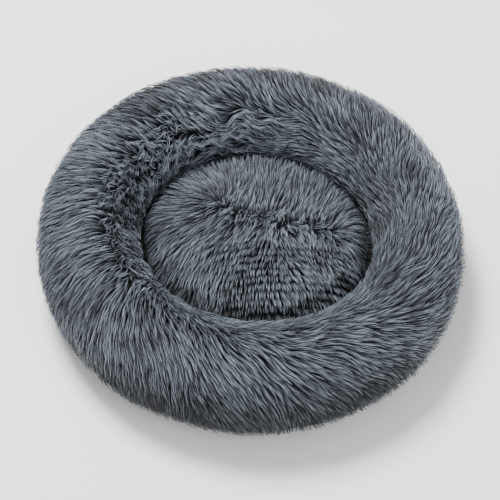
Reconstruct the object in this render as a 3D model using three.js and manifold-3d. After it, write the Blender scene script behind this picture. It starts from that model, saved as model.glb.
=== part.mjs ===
// A round pet bed: a stuffed ring with a cushion inside it, in one long-pile cover that zips off underneath.
// Millimetres, +Z up. The origin is on the floor under the middle of the bed, and -Y is the bed's front.

import * as THREE from 'three';
import { mergeVertices } from 'three/addons/utils/BufferGeometryUtils.js';
import Module from 'manifold-3d';

const wasm = await Module();
wasm.setup();

// The whole bed
const bedDiameter = 600;
const bedHeight = 160;
const rimWidth = 141;
const rimSway = 9; // the rim is wider by half of this on the left, and narrower by as much on the right
const crestDip = 5; // how far the rim's crest sinks between its three high places
const seatRise = 32; // the cushion's crown above the crease, which is level with the rim's middle
const crownShiftX = 6; // the crown from the middle of the seat, to the right and to the back
const crownShiftY = 8;

// The plush cover
const pileDepth = 16; // the pile as it lies
const plushBacking = 1.5;
const creasePileDepth = 13.5; // the cushion's pile where the rim presses on it
const creaseGap = 0.4;
const seamBindingWidth = 10;
const baseBindingWidth = 5;
const baseSetBack = 1; // the base panel's edge inside the pile's edge
const recessInset = 3; // the raised middle of the base, inside the crease seam
const recessSlope = 15;

// The inserts inside the cover
const fitGap = 0.3;
const casingCloth = 1.2;
const padEdgeRadius = 12;
const closingTapeWidth = 10;
const closingTapeCloth = 1;
const closingTapeLap = 5; // past each end of the pad's slit
const slitLength = 120;
const slitHeight = 2.4;
const slitLevel = 20; // above the pad's underside

// The base cloth and its label
const panelCloth = 1.7;
const slotWidth = 16; // the opening between the panels where the zip is set in
const labelLength = 34;
const labelWidth = 22;
const labelCloth = 0.5;
const labelReach = 70; // the label's middle, in front of the zip

// The zip, which hangs under the base panels and fills the raised middle between the two join tapes
const joinTapeWidth = 22;
const joinTapeLength = 28;
const joinTapeEdge = 4; // from the join tape's end to the edge of the raised middle
const tapeCloth = 0.6;
const tapeWidth = 14;
const tapeGap = 2; // between the edges of the two tapes
const tapeEnd = 14; // tape past each end of the chain
const chainThickness = 1.3;
const chainWidth = 6.2;
const toothReach = 0.8; // a tooth's tip past the middle line
const toothPitch = 6;
const stopLength = 3;
const stopWidth = 2.4;

// The slider and its pull tab
const sliderLength = 11;
const sliderFlare = 0.8; // how much further out each side is at the shoulder than at the tail
const chainClearance = 0.4; // between the chain and the slider's flanges
const sliderPlate = 1.2;
const flangeThickness = 0.7;
const pillarLength = 3;
const pillarWidth = 1.4;
const floorClearance = 0.8;
const archBar = 1;
const archWidth = 1.8;
const archSpan = 6;
const archPlay = 0.5; // between the arch and the tab's eye
const tabLength = 28;
const tabWidth = 6.8;
const tabThickness = 1.1;
const tabEndBar = 1.4;
const tabPlay = 0.2; // round the end bar as it turns in the arch

const overrun = 2; // how far a cut runs past what it cuts

// Counts and angles
const turns = 40; // steps around the bed
const rightAngle = 90;
const coverAngles = [-70, -50, -30, -10, 10, 30, 50, 70, 90, 110, 130, 150, 170, 190, 210];
const casingAngles = [232, 259, 281, 330, 370, 410, 450, 490, 530, 588];
const fillingAngles = [230, 259, 281, 330, 370, 410, 450, 490, 530];
const restAngle = 79; // the insert's section is flat below this angle
const arcSteps = 6;
const crestWaves = 3;
const crestTurn = 40; // degrees to the first high place of the crest

// Shares
const halfShare = 0.5;
const outlineWaveShare = 0.0125; // how far the outline departs from a circle
const crownRingShares = [0, 0.4, 0.7, 0.88, 0.96, 1];
const crownPowerShare = 0.75;
const seatHemShare = 0.8; // where the seat panel ends, between the crease's side and its seam
const cornerShare = 0.29; // the middle of the pad's rounded edge
const toothShare = 0.4; // a tooth's width in its pitch
const tabTaperShare = 0.8; // the tab's width at its free end
const weldShare = 0.3; // how far the slider's pieces run into its plates, of a plate's thickness

const colours = {
  plush: 0x585d64,
  base: 0x3c3e43,
  binding: 0x33353a,
  casing: 0xd9d8d3,
  filling: 0xf1f0ec,
  closing: 0xb9b8b2,
  zipTape: 0x35373c,
  zipChain: 0x2a2c30,
  zipMetal: 0x1f2023,
  label: 0xe9e8e4,
};

const degrees = (angle) => (angle * Math.PI) / 180;
const half = (length) => length / 2;

// The heights of the zip's layers, counted up from the floor
const archUnderside = floorClearance;
const archTop = archUnderside + archBar;
const archOpening = Math.hypot(tabEndBar, tabThickness) + 2 * tabPlay;
const outerPlateUnderside = archTop + archOpening;
const outerPlateTop = outerPlateUnderside + sliderPlate;
const chainUnderside = outerPlateTop + fitGap;
const chainTop = chainUnderside + chainThickness;
const tapeUnderside = chainTop + fitGap;
const tapeTop = tapeUnderside + tapeCloth;
const recessHeight = tapeTop + fitGap;
const innerPlateUnderside = recessHeight;
const innerPlateTop = innerPlateUnderside + sliderPlate;
const raisedPanelTop = recessHeight + panelCloth;
const padUnderside = Math.max(raisedPanelTop, innerPlateTop) + fitGap;
const hingeHeight = archTop + half(archOpening);

const coverThickness = pileDepth + plushBacking;
const creaseThickness = creasePileDepth + plushBacking;
const meanCrease = half(bedHeight);

// The rim's outline and section at one place around the bed
function rimAt(turn) {
  const outer = half(bedDiameter) * (1 + outlineWaveShare * Math.cos(2 * turn + degrees(rightAngle)));
  const halfWidth = half(rimWidth) - half(rimSway) * Math.cos(turn);
  const wave = Math.cos(crestWaves * (turn - degrees(crestTurn)));
  const crest = bedHeight - half(crestDip) * (1 - wave);
  return { turn, middle: outer - halfWidth, halfWidth, crest };
}

const places = Array.from({ length: turns }, (_, i) => rimAt((2 * Math.PI * i) / turns));

// A point of the pile's surface on the rim, as radius and height
function pilePoint(rim, angle) {
  const halfHeight = half(rim.crest);
  return [
    rim.middle + rim.halfWidth * Math.cos(degrees(angle)),
    halfHeight + halfHeight * Math.sin(degrees(angle)),
  ];
}

// A point of the rim insert's surface, or of one that lies outside it by a distance
function insertPoint(rim, angle, outside) {
  const top = rim.crest - coverThickness - fitGap;
  const rest = panelCloth + fitGap;
  const halfHeight = (top - rest) / (1 + Math.sin(degrees(restAngle)));
  const halfWidth = rim.halfWidth - coverThickness - fitGap;
  return [
    rim.middle + (halfWidth + outside) * Math.cos(degrees(angle)),
    top - halfHeight + (halfHeight + outside) * Math.sin(degrees(angle)),
  ];
}

const mix = (from, to, share) => from + (to - from) * share;
const mixPoint = (from, to, share) => from.map((value, i) => mix(value, to[i], share));
const onTurn = (rim, [radius, height]) => [
  radius * Math.cos(rim.turn), radius * Math.sin(rim.turn), height,
];

// Turns a list of corners and faces into one closed body with its faces pointing out
function closedBody(corners, faces) {
  const volume = faces.reduce((sum, [a, b, c]) => {
    const [p, q, r] = [a, b, c].map((i) => new THREE.Vector3(...corners[i]));
    return sum + p.dot(q.cross(r));
  }, 0);
  const geometry = new THREE.BufferGeometry();
  geometry.setAttribute('position', new THREE.Float32BufferAttribute(corners.flat(), 3));
  geometry.setIndex((volume < 0 ? faces.map((face) => [...face].reverse()) : faces).flat());
  return geometry;
}

// Joins loops of equally many points, either round to the first again or with flat ends
function loft(loops, closed) {
  const count = loops[0].length;
  const faces = [];
  const steps = closed ? loops.length : loops.length - 1;
  for (let i = 0; i < steps; i += 1) {
    const next = (i + 1) % loops.length;
    for (let j = 0; j < count; j += 1) {
      const after = (j + 1) % count;
      const [a, b] = [i * count + j, i * count + after];
      const [c, d] = [next * count + after, next * count + j];
      faces.push([a, b, c], [a, c, d]);
    }
  }
  if (!closed) {
    const last = (loops.length - 1) * count;
    for (let j = 1; j < count - 1; j += 1) {
      faces.push([0, j + 1, j], [last, last + j, last + j + 1]);
    }
  }
  return closedBody(loops.flat(), faces);
}

// Joins rings of points between a first and a last single point
function domed(first, rings, last) {
  const corners = [first, ...rings.flat(), last];
  const count = rings[0].length;
  const end = corners.length - 1;
  const faces = [];
  for (let j = 0; j < count; j += 1) {
    const after = (j + 1) % count;
    faces.push([0, 1 + j, 1 + after]);
    for (let i = 0; i < rings.length - 1; i += 1) {
      const [a, b] = [1 + i * count + j, 1 + i * count + after];
      faces.push([a, a + count, b + count], [a, b + count, b]);
    }
    const lastRing = end - count;
    faces.push([end, lastRing + after, lastRing + j]);
  }
  return closedBody(corners, faces);
}

const around = (section) => loft(places.map((rim) => section(rim).map((p) => onTurn(rim, p))), true);

function asSolid(geometry) {
  const bare = geometry.clone();
  bare.deleteAttribute('normal');
  bare.deleteAttribute('uv');
  const merged = mergeVertices(bare);
  const vertProperties = new Float32Array(merged.attributes.position.array);
  const triVerts = new Uint32Array(merged.index.array);
  return new wasm.Manifold(new wasm.Mesh({ numProp: 3, vertProperties, triVerts }));
}

function asGeometry(solid) {
  const mesh = solid.getMesh();
  const geometry = new THREE.BufferGeometry();
  geometry.setAttribute('position', new THREE.Float32BufferAttribute(mesh.vertProperties, 3));
  geometry.setIndex([...mesh.triVerts]);
  return geometry;
}

// A box between two corners
function block(low, high) {
  const size = high.map((value, i) => value - low[i]);
  const centre = high.map((value, i) => half(value + low[i]));
  return new THREE.BoxGeometry(...size).translate(...centre);
}

// An outline in X and Y, raised between two heights
function slab(outline, underside, top) {
  const shape = outline instanceof THREE.Shape ? outline : new THREE.Shape(
    outline.map(([x, y]) => new THREE.Vector2(x, y)),
  );
  const depth = top - underside;
  return new THREE.ExtrudeGeometry(shape, { depth, bevelEnabled: false, curveSegments: arcSteps })
    .translate(0, 0, underside);
}

const bed = new THREE.Group();

function add(name, geometry, colour, roughness = 1, metalness = 0) {
  const mesh = new THREE.Mesh(geometry, new THREE.MeshStandardMaterial({
    color: colour, roughness, metalness,
  }));
  mesh.name = name;
  bed.add(mesh);
  return mesh;
}

// The rim's plush: a ring that is open underneath, between the crease seam and the base seam
add('rim_fur_cover', around((rim) => [
  ...coverAngles.map((angle) => pilePoint(rim, angle)),
  ...[...coverAngles].reverse().map((angle) => insertPoint(rim, angle, fitGap)),
]), colours.plush);

// The rim's insert: a cloth tube sewn shut along its inner underside, round a ring of fibre
add('rim_insert_casing', around((rim) => [
  ...casingAngles.map((angle) => insertPoint(rim, angle, 0)),
  ...[...casingAngles].reverse().map((angle) => insertPoint(rim, angle, -casingCloth)),
]), colours.casing);
add('rim_insert_filling', around((rim) => (
  fillingAngles.map((angle) => insertPoint(rim, angle, -casingCloth - fitGap))
)), colours.filling);
add('rim_casing_closing_tape', around((rim) => {
  const [from, to] = [casingAngles.at(-1), casingAngles[0]].map((angle) => insertPoint(rim, angle, 0));
  const slitWidth = Math.hypot(to[0] - from[0], to[1] - from[1]);
  const [x, z] = [(to[0] - from[0]) / slitWidth, (to[1] - from[1]) / slitWidth];
  const middle = mixPoint(from, to, halfShare);
  const corner = (along, out) => [middle[0] + along * x + out * z, middle[1] + along * z - out * x];
  const reach = half(closingTapeWidth);
  const outside = fitGap + closingTapeCloth;
  return [corner(-reach, fitGap), corner(reach, fitGap), corner(reach, outside), corner(-reach, outside)];
}), colours.closing);

// The seat's plush: a crowned panel whose side goes down into the crease and ends at its seam
const seatCentre = [rimSway, 0];
const crown = [seatCentre[0] + crownShiftX, seatCentre[1] + crownShiftY];

const creaseSide = (rim) => pilePoint(rim, coverAngles.at(-2));
const creaseSeam = (rim) => pilePoint(rim, coverAngles.at(-1));
const seatHem = (rim) => mixPoint(creaseSide(rim), creaseSeam(rim), seatHemShare);
const seatEdge = (rim, inset) => creaseSide(rim)[0] - creaseGap - inset;

function crownRings(inset, drop) {
  return crownRingShares.slice(1).map((share) => places.map((rim) => {
    const radius = seatEdge(rim, inset);
    const level = mix(meanCrease, half(rim.crest), share);
    const rise = seatRise * (1 - share ** 2) ** crownPowerShare;
    return [
      mix(crown[0], radius * Math.cos(rim.turn), share),
      mix(crown[1], radius * Math.sin(rim.turn), share),
      level + rise - drop,
    ];
  }));
}

const crownTop = (drop) => [...crown, meanCrease + seatRise - drop];
const ringAt = (radiusAndHeight) => places.map((rim) => onTurn(rim, radiusAndHeight(rim)));

add('seat_fur_panel', domed(
  crownTop(0),
  [
    ...crownRings(0, 0),
    ringAt((rim) => [seatEdge(rim, 0), creaseSide(rim)[1]]),
    ringAt((rim) => [seatHem(rim)[0] - creaseGap, seatHem(rim)[1]]),
    ringAt((rim) => [seatEdge(rim, creaseThickness), seatHem(rim)[1]]),
    ...crownRings(creaseThickness, coverThickness).reverse(),
  ],
  crownTop(coverThickness),
), colours.plush);

// The seat's insert: a cloth casing with a stuffing slit in its back edge, round a pad of fibre
function padRings(inset) {
  const edge = creaseThickness + fitGap + inset;
  const corner = cornerShare * padEdgeRadius;
  const underside = padUnderside + inset;
  return [
    ...crownRings(edge, coverThickness + fitGap + inset),
    ringAt((rim) => [seatEdge(rim, edge), underside + padEdgeRadius]),
    ringAt((rim) => [seatEdge(rim, edge) - corner, underside + corner]),
    ringAt((rim) => [seatEdge(rim, edge) - padEdgeRadius, underside]),
  ];
}

function padBody(inset) {
  const top = crownTop(coverThickness + fitGap + inset);
  return domed(top, padRings(inset), [...crown, padUnderside + inset]);
}

const backPlace = places[turns / 4];
const padEdge = seatEdge(backPlace, creaseThickness + fitGap);
const slitBow = padEdge - Math.sqrt(padEdge ** 2 - half(slitLength) ** 2);
const slitMiddle = padUnderside + slitLevel;
const slit = block(
  [-half(slitLength), padEdge - slitBow - casingCloth - overrun, slitMiddle - half(slitHeight)],
  [half(slitLength), padEdge + overrun, slitMiddle + half(slitHeight)],
);
const hollowPad = asSolid(padBody(0)).subtract(asSolid(padBody(casingCloth)));
add('seat_insert_casing', asGeometry(hollowPad.subtract(asSolid(slit))), colours.casing);
add('seat_insert_filling', padBody(casingCloth + fitGap), colours.filling);

const slitTurn = Math.asin((half(slitLength) + closingTapeLap) / padEdge);
const slitPlaces = [
  rimAt(backPlace.turn - slitTurn),
  ...places.filter((rim) => Math.abs(rim.turn - backPlace.turn) < slitTurn),
  rimAt(backPlace.turn + slitTurn),
];
add('seat_casing_closing_tape', loft(slitPlaces.map((rim) => {
  const inner = seatEdge(rim, creaseThickness + fitGap) + fitGap;
  const reach = half(closingTapeWidth);
  return [
    [inner, slitMiddle - reach], [inner + closingTapeCloth, slitMiddle - reach],
    [inner + closingTapeCloth, slitMiddle + reach], [inner, slitMiddle + reach],
  ].map((point) => onTurn(rim, point));
}), false), colours.closing);

// The bindings over the two seams of the cover
add('seat_seam_binding', around((rim) => {
  const [lowEdge, highEdge] = [creaseSeam(rim), seatHem(rim)].map(([radius]) => radius - creaseGap);
  const [low, high] = [creaseSeam(rim)[1] + fitGap, seatHem(rim)[1] - fitGap];
  const inner = highEdge - seamBindingWidth;
  return [[inner, low], [lowEdge, low], [highEdge, high], [inner, high]];
}), colours.binding);

const baseEdge = (rim) => pilePoint(rim, coverAngles[0])[0] - baseSetBack;
const coverHem = (rim) => Math.min(
  pilePoint(rim, coverAngles[0])[1], insertPoint(rim, coverAngles[0], fitGap)[1],
);
add('base_seam_binding', around((rim) => {
  const [low, high] = [panelCloth + fitGap, coverHem(rim) - fitGap];
  const outer = baseEdge(rim);
  return [[outer - baseBindingWidth, low], [outer, low], [outer, high], [outer - baseBindingWidth, high]];
}), colours.binding);

// The base: flat on the floor under the rim, and raised in the middle so that the zip is off the floor
const recessEdge = (rim) => creaseSeam(rim)[0] - recessInset;
const recessFoot = (rim) => recessEdge(rim) + recessSlope;
const baseDisc = asSolid(domed(
  [...seatCentre, recessHeight],
  [
    ringAt((rim) => [recessEdge(rim), recessHeight]),
    ringAt((rim) => [recessFoot(rim), 0]),
    ringAt((rim) => [baseEdge(rim), 0]),
    ringAt((rim) => [baseEdge(rim), panelCloth]),
    ringAt((rim) => [recessFoot(rim), panelCloth]),
    ringAt((rim) => [recessEdge(rim), raisedPanelTop]),
  ],
  [...seatCentre, raisedPanelTop],
));

// The zip's places along the joint of the two panels, with the slider closed at the right
const leftEdge = joinTapeEdge - recessEdge(places[turns / 2]);
const rightEdge = recessEdge(places[0]) - joinTapeEdge;
const tapeStart = leftEdge + joinTapeLength + fitGap;
const tapeFinish = rightEdge - joinTapeLength - fitGap;
const chainStart = tapeStart + tapeEnd;
const closedSlider = tapeFinish - tapeEnd;
const tapeLap = tapeWidth - half(slotWidth - tapeGap);
const cutTop = raisedPanelTop + overrun;
const slotCut = asSolid(block(
  [tapeStart + tapeLap, -half(slotWidth), -overrun],
  [tapeFinish - tapeLap, half(slotWidth), cutTop],
));

for (const [name, side] of [['base_panel_front', -1], ['base_panel_back', 1]]) {
  const far = [side * half(fitGap), -side * bedDiameter];
  const otherSide = block(
    [-bedDiameter, Math.min(...far), -overrun], [bedDiameter, Math.max(...far), cutTop],
  );
  add(name, asGeometry(baseDisc.subtract(slotCut).subtract(asSolid(otherSide))), colours.base);
}

const labelTop = recessHeight - fitGap;
add('care_label', block(
  [seatCentre[0] - half(labelLength), -labelReach - half(labelWidth), labelTop - labelCloth],
  [seatCentre[0] + half(labelLength), -labelReach + half(labelWidth), labelTop],
), colours.label);

// Tapes over the joint of the two panels, past the ends of the zip
for (const [name, from, to] of [
  ['base_join_tape_left', leftEdge, tapeStart - fitGap],
  ['base_join_tape_right', tapeFinish + fitGap, rightEdge],
]) {
  add(name, block(
    [from, -half(joinTapeWidth), tapeUnderside], [to, half(joinTapeWidth), tapeTop],
  ), colours.binding);
}

// The slider's outline along X, from the middle of its length
const [tail, nose] = [-half(sliderLength), half(sliderLength)];
const shoulder = nose - pillarLength;
const tailReach = half(chainWidth) + chainClearance + flangeThickness;
const shoulderReach = tailReach + sliderFlare;

// One half of the zip's chain: a bar along the tape's edge with teeth that reach past the middle.
// The closed chain ends in the slider, behind the pillar that parts the two halves.
const chainFinish = closedSlider + shoulder - half(pillarLength) - fitGap;

function chainOutline(side) {
  const root = half(chainWidth);
  const gum = toothReach + fitGap;
  const tooth = toothShare * toothPitch;
  const first = chainStart + (side > 0 ? half(toothPitch) : 0);
  const outline = [[chainFinish, side * root], [chainStart, side * root], [chainStart, side * gum]];
  for (let from = first; from + tooth < chainFinish; from += toothPitch) {
    if (from > chainStart) outline.push([from, side * gum]);
    else outline.pop();
    outline.push([from, -side * toothReach], [from + tooth, -side * toothReach], [from + tooth, side * gum]);
  }
  outline.push([chainFinish, side * gum]);
  return side > 0 ? outline : outline.reverse();
}

for (const [place, side] of [['front', -1], ['back', 1]]) {
  const across = [half(tapeGap), half(tapeGap) + tapeWidth].map((y) => side * y);
  add(`zip_tape_${place}`, block(
    [tapeStart, Math.min(...across), tapeUnderside], [tapeFinish, Math.max(...across), tapeTop],
  ), colours.zipTape);
  add(`zip_chain_${place}`, slab(chainOutline(side), chainUnderside, chainTop), colours.zipChain, 0.5);
  const stopFrom = closedSlider + half(sliderLength) + fitGap;
  const stopSpan = [half(chainWidth) - stopWidth, half(chainWidth)].map((y) => side * y);
  add(`zip_top_stop_${place}`, block(
    [stopFrom, Math.min(...stopSpan), chainUnderside],
    [stopFrom + stopLength, Math.max(...stopSpan), chainTop],
  ), colours.zipMetal, 0.4, 0.8);
}
const bottomStopEnd = chainStart - fitGap;
add('zip_bottom_stop', block(
  [bottomStopEnd - stopLength, -half(chainWidth), chainUnderside],
  [bottomStopEnd, half(chainWidth), chainTop],
), colours.zipMetal, 0.4, 0.8);

// The slider, closed: two plates joined by a pillar between the tapes, with an arch for the pull tab
const plateOutline = [
  [tail, -tailReach], [shoulder, -shoulderReach], [nose, -half(chainWidth)],
  [nose, half(chainWidth)], [shoulder, shoulderReach], [tail, tailReach],
];
const pillarOutline = [
  [shoulder - half(pillarLength), 0], [shoulder, -half(pillarWidth)],
  [shoulder + half(pillarLength), 0], [shoulder, half(pillarWidth)],
];
const weld = weldShare * sliderPlate;
const flangeTop = tapeUnderside - fitGap;
const flangeOutline = (side) => {
  const outline = [
    [tail, side * tailReach], [shoulder, side * shoulderReach],
    [shoulder, side * (shoulderReach - flangeThickness)], [tail, side * (tailReach - flangeThickness)],
  ];
  return side > 0 ? outline.reverse() : outline;
};
const archEnd = half(archSpan) + archBar;
const sliderPieces = [
  slab(plateOutline, outerPlateUnderside, outerPlateTop),
  slab(plateOutline, innerPlateUnderside, innerPlateTop),
  slab(pillarOutline, outerPlateTop - weld, innerPlateUnderside + weld),
  slab(flangeOutline(-1), outerPlateTop - weld, flangeTop),
  slab(flangeOutline(1), outerPlateTop - weld, flangeTop),
  block([-archEnd, -half(archWidth), archUnderside], [archEnd, half(archWidth), archTop]),
  block([-archEnd, -half(archWidth), archUnderside],
    [-half(archSpan), half(archWidth), outerPlateUnderside + weld]),
  block([half(archSpan), -half(archWidth), archUnderside],
    [archEnd, half(archWidth), outerPlateUnderside + weld]),
];
const slider = sliderPieces.map(asSolid).reduce((whole, piece) => whole.add(piece));
add('zip_slider', asGeometry(slider), colours.zipMetal, 0.4, 0.8).position.x = closedSlider;

// The pull tab, lying along the closed chain, with its end bar through the arch
const tabNear = half(tabEndBar);
const eyeFar = -Math.hypot(archEnd, half(archOpening) + archBar) - archPlay;
const eyeReach = half(archWidth) + archPlay;
const tip = half(tabWidth) * tabTaperShare;
const tipMiddle = tip - tabLength;
const tabShape = new THREE.Shape();
tabShape.moveTo(tabNear, -half(tabWidth));
tabShape.lineTo(tabNear, half(tabWidth));
tabShape.lineTo(eyeFar, half(tabWidth));
tabShape.lineTo(tipMiddle, tip);
tabShape.absarc(tipMiddle, 0, tip, degrees(rightAngle), degrees(3 * rightAngle), false);
tabShape.lineTo(eyeFar, -half(tabWidth));
const eye = new THREE.Path([
  new THREE.Vector2(-tabNear, -eyeReach),
  new THREE.Vector2(eyeFar, -eyeReach),
  new THREE.Vector2(eyeFar, eyeReach),
  new THREE.Vector2(-tabNear, eyeReach),
]);
tabShape.holes.push(eye);
const tabUnderside = hingeHeight - half(tabThickness);
add('zip_pull_tab', slab(tabShape, tabUnderside, tabUnderside + tabThickness), colours.zipMetal, 0.4, 0.8)
  .position.x = closedSlider;

export default bed;
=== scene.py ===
"""The looks of a round pet bed: a stuffed ring and a cushion in one long-pile cover that zips off underneath.

Metres, +Z up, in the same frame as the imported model. The origin is on the floor under the bed's middle.
"""

import math
from functools import partial

import bmesh
import bpy
import numpy as np
from bpy.props import FloatProperty, FloatVectorProperty, IntProperty, PointerProperty
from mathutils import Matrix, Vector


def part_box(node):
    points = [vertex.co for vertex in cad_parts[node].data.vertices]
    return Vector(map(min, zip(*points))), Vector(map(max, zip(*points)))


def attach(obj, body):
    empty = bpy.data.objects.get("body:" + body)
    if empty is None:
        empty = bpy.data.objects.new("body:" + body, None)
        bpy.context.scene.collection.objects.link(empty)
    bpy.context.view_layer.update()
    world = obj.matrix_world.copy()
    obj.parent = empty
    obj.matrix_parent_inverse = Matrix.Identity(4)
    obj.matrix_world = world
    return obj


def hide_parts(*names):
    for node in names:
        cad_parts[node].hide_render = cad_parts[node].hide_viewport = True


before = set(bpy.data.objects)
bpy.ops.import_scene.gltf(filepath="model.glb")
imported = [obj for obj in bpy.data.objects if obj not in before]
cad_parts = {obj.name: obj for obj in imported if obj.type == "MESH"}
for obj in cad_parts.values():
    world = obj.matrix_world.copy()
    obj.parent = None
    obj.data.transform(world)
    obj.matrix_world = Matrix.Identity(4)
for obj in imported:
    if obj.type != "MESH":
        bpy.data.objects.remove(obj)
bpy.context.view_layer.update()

bl_info = {
    "name": "Round plush pet bed",
    "version": (1, 0, 0),
    "blender": (4, 5, 0),
    "location": "3D View > Sidebar > Pet Bed",
    "description": "Dresses a packed round pet bed in long plush pile, cloth, stitching and a zip",
    "category": "Object",
}

MM = 0.001
FULL_TURN = 2 * math.pi

# The forms that the part's source gives its solids, so that the cloth and pile lie where they do
BED_DIAMETER = 600 * MM
BED_HEIGHT = 160 * MM
RIM_WIDTH = 141 * MM
RIM_SWAY = 9 * MM
CREST_DIP = 5 * MM
CREST_WAVES = 3
CREST_TURN = math.radians(40)
OUTLINE_WAVE = 0.0125
SEAT_RISE = 32 * MM
CROWN = np.array([15, 8]) * MM
SEAT_MIDDLE = np.array([9, 0, 0]) * MM
CROWN_POWER = 0.75
PILE_DEPTH = 16 * MM
PLUSH_BACKING = 1.5 * MM
CREASE_PILE_DEPTH = 13.5 * MM
CREASE_GAP = 0.4 * MM
FIT_GAP = 0.3 * MM
CASING_CLOTH = 1.2 * MM
PANEL_CLOTH = 1.7 * MM
PAD_EDGE_RADIUS = 12 * MM
PAD_UNDERSIDE = 9.98 * MM
PAD_SIDE_HEIGHTS = np.array([46, 34, 23]) * MM
REST_ANGLE = math.radians(79)
BASE_SEAM_ANGLE = math.radians(-70)
CREASE_SIDE_ANGLE = math.radians(190)
CREASE_SEAM_ANGLE = math.radians(210)
SLIT_LOW_ANGLE = math.radians(228)
SLIT_HIGH_ANGLE = math.radians(232)
SECTION_START = SLIT_HIGH_ANGLE - FULL_TURN
SEAT_HEM = 0.8
SEAM_BINDING_WIDTH = 10 * MM
BASE_BINDING_WIDTH = 5 * MM
BASE_SET_BACK = 1 * MM
RECESS_INSET = 3 * MM
RECESS_SLOPE = 15 * MM
CLOSING_TAPE_WIDTH = 10 * MM
CLOSING_TAPE_CLOTH = 1 * MM
ZIP_TAPE_LAP = 7 * MM  # how far the zip's tapes run past the ends of the slot in the base
ZIP_SLOT_HALF = 8 * MM
COVER = PILE_DEPTH + PLUSH_BACKING
CREASE_COVER = CREASE_PILE_DEPTH + PLUSH_BACKING

# How the inserts are stuffed
PLUMP_REACH = 3 * MM  # the most that the cloth simulation may move a point
LEAST_SETTLED = 0.2 * MM  # how far the stuffing settles below its full shape, at least and at most
RIM_SETTLES = 3.6 * MM
SEAT_SETTLES = 3.4 * MM

# Sewing
SEAM_TO_STITCHES = 3 * MM  # from the edge of a seam's tape or of the base
HEM_TO_STITCHES = 2 * MM  # from the edge of a smaller piece
JOINT_TO_STITCHES = 12 * MM  # from the joint in the base, along the zip
STITCH_SINK = 0.12 * MM  # how deep the base's stitches and its dots sit in its cloth
DOT_SINK = 0.1 * MM

# The pile
RIM_SECTORS, SEAT_SECTORS = 8, 3
PILE_MAP = "OFBake"  # the strands' map, from root to tip and from painted shade to painted light
LEAST_SHADE, MOST_SHADE = 0.03, 0.96
PATCH_SCALE = 26.0  # of the noise that dyes the pile in patches about 38 mm wide
FLOOR_CLEARANCE = 2 * MM  # of the lowest strands
ROW_SPACING = 10.5 * MM  # between the knitted rows that show on the seat's front, drawn wider than real ones
ROW_SLANT = -0.05
# A strand's height over the backing and its width, each from its root to its tip, as shares
RISE = ((0.0, 0.04), (0.22, 0.56), (0.5, 0.84), (0.78, 0.95), (1.0, 0.96))
TAPER = ((0.0, 0.7), (0.35, 1.0), (0.72, 0.8), (1.0, 0.16))
# Where the seat's pile parts, from left to right
PARTING = np.array([(-38, 44), (-14, 27), (10, 20), (44, 8), (80, 9), (112, 4)]) * MM

# How the pile is combed round the rim, after the photograph: for each place round the bed,
# counted from its right side, the angles from straight outward towards anticlockwise,
# low on the outer wall, high on it, on the crest, on the inner wall and in the crease
COMB_STROKES = {
    0: (25, 80, 76, 86, 90),
    45: (20, 72, 66, 84, 90),
    90: (10, 36, 42, 80, 90),
    135: (0, 14, 26, 70, 85),
    180: (-5, -4, 6, 55, 80),
    225: (5, 26, 38, 72, 88),
    270: (15, 42, 62, 86, 90),
    315: (25, 62, 74, 88, 90),
}
COMB_HEIGHTS = (-25, 35, 90, 140, 190)  # section angles that the strokes above are for

# Patches of the rim, where its painted shade and light, its combing or its length change: the place round the
# bed at their middle in degrees, the cosines of the turn away from it between which they fade in, and the
# section angles in degrees between which they fade in
RIM_PATCHES = {
    "right_wall": (0, 0.5, 0.95, 110, 150),
    "back_wall": (90, 0.2, 0.9, 105, 150),
    "tousled": (132, 0.25, 0.85, 108, 140),
    "upper_left": (132, 0.7, 0.95, 100, 150),
    "shaggy": (168, 0.35, 0.85, 98, 132),
    "messy": (172, 0.72, 0.97, 88, 125),
    "left_wall": (180, 0.5, 0.95, 110, 150),
    "front_lip": (270, 0.25, 0.8, 122, 142),
}


def linear_colour(code):
    """An sRGB hex colour as linear red, green, blue and alpha."""
    parts = [int(code[i : i + 2], 16) / 255 for i in (0, 2, 4)]
    return tuple(p / 12.92 if p <= 0.04045 else ((p + 0.055) / 1.055) ** 2.4 for p in parts) + (1.0,)


def length_property(name, description, millimetres, least=0.0):
    """A size that a user may change, in metres."""
    return FloatProperty(
        name=name, description=description, default=millimetres * MM, min=least, unit="LENGTH", precision=5
    )


def colour_property(name, description, code):
    """A colour that a user may change."""
    return FloatVectorProperty(
        name=name, description=description, default=linear_colour(code), size=4, min=0, max=1, subtype="COLOR"
    )


class PetBedPlush(bpy.types.PropertyGroup):
    """The pile of the cover."""

    strand_length: length_property("Strand length", "Length of a strand of pile as it lies", 27)
    strand_width: length_property("Strand width", "Width of a strand where it is widest", 0.85)
    tuft_spacing: length_property("Tuft spacing", "Least distance between the roots of two tufts", 3.9)
    wave_height: length_property("Wave height", "How far a strand waves to either side", 0.5)
    wave_length: length_property("Wave length", "Length of one wave of a strand", 44)
    strands: FloatProperty(
        name="Strands", description="Strands of pile on a square metre of cover", default=153000, min=1000
    )
    tuft_pull: FloatProperty(
        name="Tuft pull", description="How far the tips of a tuft draw together", default=0.66, min=0, max=1,
        subtype="FACTOR",
    )
    strand_points: IntProperty(
        name="Strand points", description="Points along a strand", default=4, min=3, max=12
    )
    seed: IntProperty(name="Seed", description="Seed of everything random in the pile", default=7)
    tip_colour: colour_property("Tip colour", "Dyed pile at its tips", "848c97")
    middle_colour: colour_property("Middle colour", "Dyed pile along a strand's middle", "454a52")
    # Near black: the shade at the pile's roots is painted into this colour
    root_shade_colour: colour_property("Root colour", "Dyed pile in the shade at its roots", "0e1014")
    backing_colour: colour_property("Backing colour", "Knitted backing that shows between tufts", "131518")


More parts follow.
